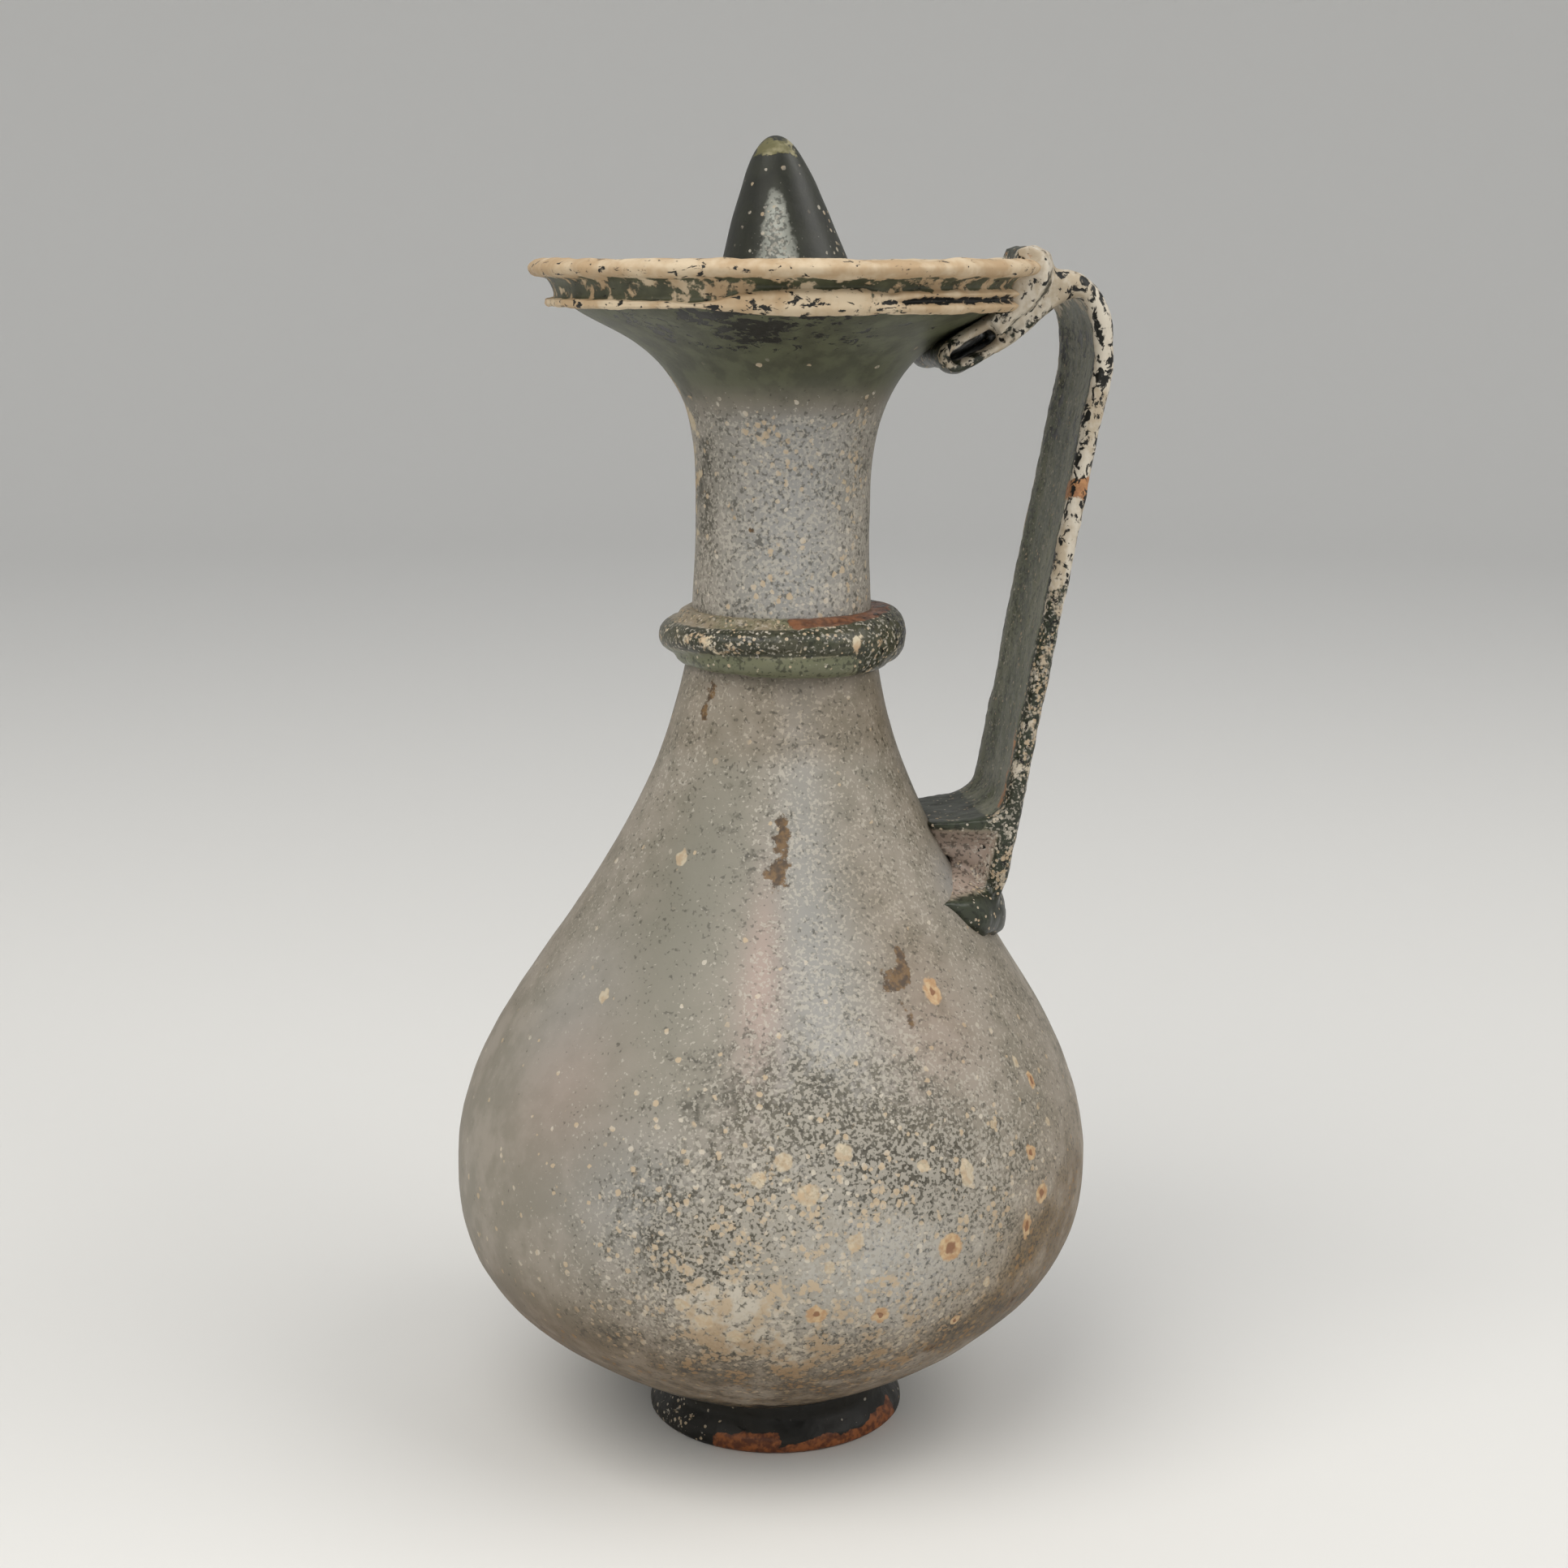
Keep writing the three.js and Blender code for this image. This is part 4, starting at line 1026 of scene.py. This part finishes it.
def finish_strap(piece):
    """Crust on the edges of the strap, a grey film on its faces, a pale web at its foot."""
    points, normal = points_of(piece), normals_at(piece)
    z, y = points[:, 2].copy(), points[:, 1].copy()
    line = strap_stations()[0]
    (foot_x, foot_z, _), (bend_x, bend_z, _) = line[1], line[BEND_STATION]
    behind = foot_x + (z - foot_z) * (bend_x - foot_x) / (bend_z - foot_z) - points[:, 0]
    web = smooth(behind, 1.6, 4.0) * window(z, 111.5, 119.5, 2.5)
    points[:, 1] -= np.sign(y) * WEB_SCOOP * web * smooth(abs(y), 3, 9)
    points[:, 2] -= WEB_DIP * web * smooth(z, 115, 119) * smooth(abs(y), 4, 10)
    points[:, 0] += AXIS_X
    points += normal * (0.22 * noise_at(points, 7, 22) + 0.1 * noise_at(points, 2.4, 23) - 0.22)[:, None]
    across = STRAND_SHIFT * np.clip((ROLL_RADIUS - points[:, 0] + AXIS_X) / (ROLL_RADIUS - NECK_RADIUS), 0, 1)
    over = smooth(z, 205, 214)
    strap_part = np.maximum(smooth(-behind, -6, -4), over) * smooth(z, 108, 112)
    edge = smooth(abs(y - across * over), 11.8, 13.6) * strap_part
    upper = smooth(z, 148, 186)
    strand = (points[:, 0] < STRAND_SIDE) * smooth(z, 205, 208)
    web_part = smooth(behind, 1.8, 2.8) * window(z, 111, 121, 1.5)
    strip = window(abs(y), 10.6, 12.4, 1.0) * (1 - smooth(z, 136, 146)) * smooth(z, 112, 116)
    strip *= (1 - smooth(behind, 2.4, 3.4)) * (1 - smooth(y, -4, 4))
    pad_part = (1 - strap_part) * (1 - web_part) * (1 - strand)
    crown = smooth(z, 216, 222) * (1 - strand)
    fields = {
        "clear": lerp(0.2, 0.98, np.maximum(edge, np.maximum(strand, 1 - strap_part))) - 0.95 * web_part,
        "grain": 0.3 + 0.12 * edge * (1 - upper) - 0.1 * strand - 0.12 * pad_part, "speck": 0.42,
        "cream": 0.1 + 0.36 * edge * (1 - upper) + 0.08 * pad_part + 0.1 * strand,
        "crust": 0.04 + edge * (0.26 + 0.52 * upper) * (1 - 0.26 * strand) + 0.5 * crown * (1 - edge)
        + 0.35 * smooth(z, 227.5, 230),
        "brown": 0.15 - 0.15 * web_part, "pink": 0.75 * web_part,
        "rust": 0.04 + 0.52 * strip + 1.0 * patch(y, z, -15, 187.5, 6, 3.6) + 0.25 * smooth(z, 228, 231),
        "dark": 0.06 + edge * (0.24 + 0.14 * upper) * (1 - 0.25 * strand)
        + 0.35 * smooth(behind, 0.5, 1.5) * window(z, 196, 216, 6) * strap_part * (1 - edge),
    }
    finish_piece(piece, points, fields, "handle", handle_glass)


def finish_foot(piece):
    """Nearly black, with rust at the front and right and pale specks at the left."""
    points = points_of(piece)
    points[:, 0] += AXIS_X
    z = points[:, 2].copy()
    points += normals_at(piece) * ((0.18 * noise_at(points, 5, 24) - 0.12) * smooth(z, 0.3, 1.4))[:, None]
    angle = angle_of(points)
    ragged = 1.2 * noise_at(points, 6, 27)
    rusty = window(angle, -28, -2, 6) * (1 - smooth(z + ragged, 3.0, 4.4))
    reach = 1.4 + 0.045 * np.clip(angle, 0, 70) + ragged
    rusty = np.maximum(rusty, window(angle, 0, 60, 8) * (1 - smooth(z, reach, reach + 1.2)))
    fields = {
        "clear": 1.0, "grain": 0.1 + 0.2 * hump(angle, z, -62, 3, 26, 6), "speck": 0.3,
        "cream": 0.05 + 0.3 * hump(angle, z, -58, 2, 24, 5), "crust": 0.04 + 0.3 * hump(angle, z, -50, 2, 18, 3),
        "rust": 0.06 + 0.8 * rusty, "dark": 0.2,
    }
    finish_piece(piece, points, fields, "foot_ring", foot_glass)


vessel = make_vessel()
dress(vessel, "vessel", body_glass)
lid = make_lid()
dress(lid, "lid", lid_glass)

cutter = keep_out(SINK)
collar = fused("neck_trail", collar_shells(), cutter, COLLAR_VOXEL)
strap = fused("strap_handle", [strap_shell(), strand_shell(), pad_shell()], cutter, STRAP_VOXEL)
foot = fused("ring_foot", foot_shells(), cutter, FOOT_VOXEL)
bpy.data.objects.remove(cutter)
finish_collar(collar)
finish_strap(strap)
finish_foot(foot)

# ---- Stage, light and camera
scene = bpy.context.scene
scene.view_settings.view_transform = "Standard"

# A round floor that curves up into a wall all round, in metres.
steps = np.linspace(0, math.pi / 2, 17)
FLAT_RADIUS, WALL_RADIUS, WALL_TOP = 1.6, 2.6, 3.0
sweep = [(r, 0.0) for r in (0.3, 0.7, 1.2)]
sweep += [(FLAT_RADIUS + 1.0 * math.sin(t), 1.0 - math.cos(t)) for t in steps] + [(WALL_RADIUS, WALL_TOP)]
columns = 96
ring = np.arange(columns) * 2 * math.pi / columns
floor_points = [(r * math.cos(t), r * math.sin(t), z) for r, z in sweep for t in ring] + [(0, 0, 0)]
floor_faces = grid_faces(len(sweep), columns)
floor_faces += [(k, (k + 1) % columns, len(floor_points) - 1) for k in range(columns)]
floor = new_piece("floor", np.array(floor_points) * 1000, floor_faces)
paper = Shader("paper")
paper_shader = paper.node("ShaderNodeBsdfPrincipled", {"Base Color": rgb(222, 221, 218), "Roughness": 0.95})
paper.tree.links.new(paper_shader.outputs[0], paper.node("ShaderNodeOutputMaterial").inputs["Surface"])
floor.data.materials.append(paper.material)

world = bpy.data.worlds.new("studio")
scene.world = world
world.use_nodes = True
background = world.node_tree.nodes["Background"]
background.inputs["Color"].default_value = (0.92, 0.95, 1.0, 1)
background.inputs["Strength"].default_value = 0.6


def soft_light(name, azimuth, height, distance, size, power, colour=(1, 1, 1), aim=0.12):
    """A rectangular lamp at an azimuth from the front towards the handle, aimed at the jug."""
    lamp = bpy.data.lights.new(name, "AREA")
    lamp.shape = "RECTANGLE"
    lamp.size, lamp.size_y = size
    lamp.energy = power
    lamp.color = colour
    held = bpy.data.objects.new(name, lamp)
    around = math.radians(azimuth)
    place = Vector((math.sin(around) * distance, -math.cos(around) * distance, height))
    held.location = place
    held.rotation_euler = (Vector((0, 0, aim)) - place).to_track_quat("-Z", "Y").to_euler()
    scene.collection.objects.link(held)


soft_light("key", -46, 1.1, 0.85, (1.2, 1.0), 13, (1.0, 0.97, 0.92))
soft_light("fill", 60, 0.95, 0.95, (1.0, 1.0), 8, (1.0, 0.98, 0.95))
soft_light("strip", -2, 0.32, 1.0, (0.04, 0.9), 0.35, (0.88, 0.92, 1.0), 0.15)

# The photograph's camera: degrees and metres, and the lens and sensor in millimetres.
AZIMUTH, REACH_BACK, EYE, TILT_DOWN, LENS, SENSOR = -8.5, 0.486, 0.230, 11.715, 58.14, 36
around = math.radians(AZIMUTH)
camera = bpy.data.objects.new("camera", bpy.data.cameras.new("camera"))
camera.data.lens, camera.data.sensor_width = LENS, SENSOR
camera.location = (AXIS_X / 1000 + REACH_BACK * math.sin(around), -REACH_BACK * math.cos(around), EYE)
camera.rotation_euler = (math.radians(90 - TILT_DOWN), 0, around)
scene.collection.objects.link(camera)
scene.camera = camera
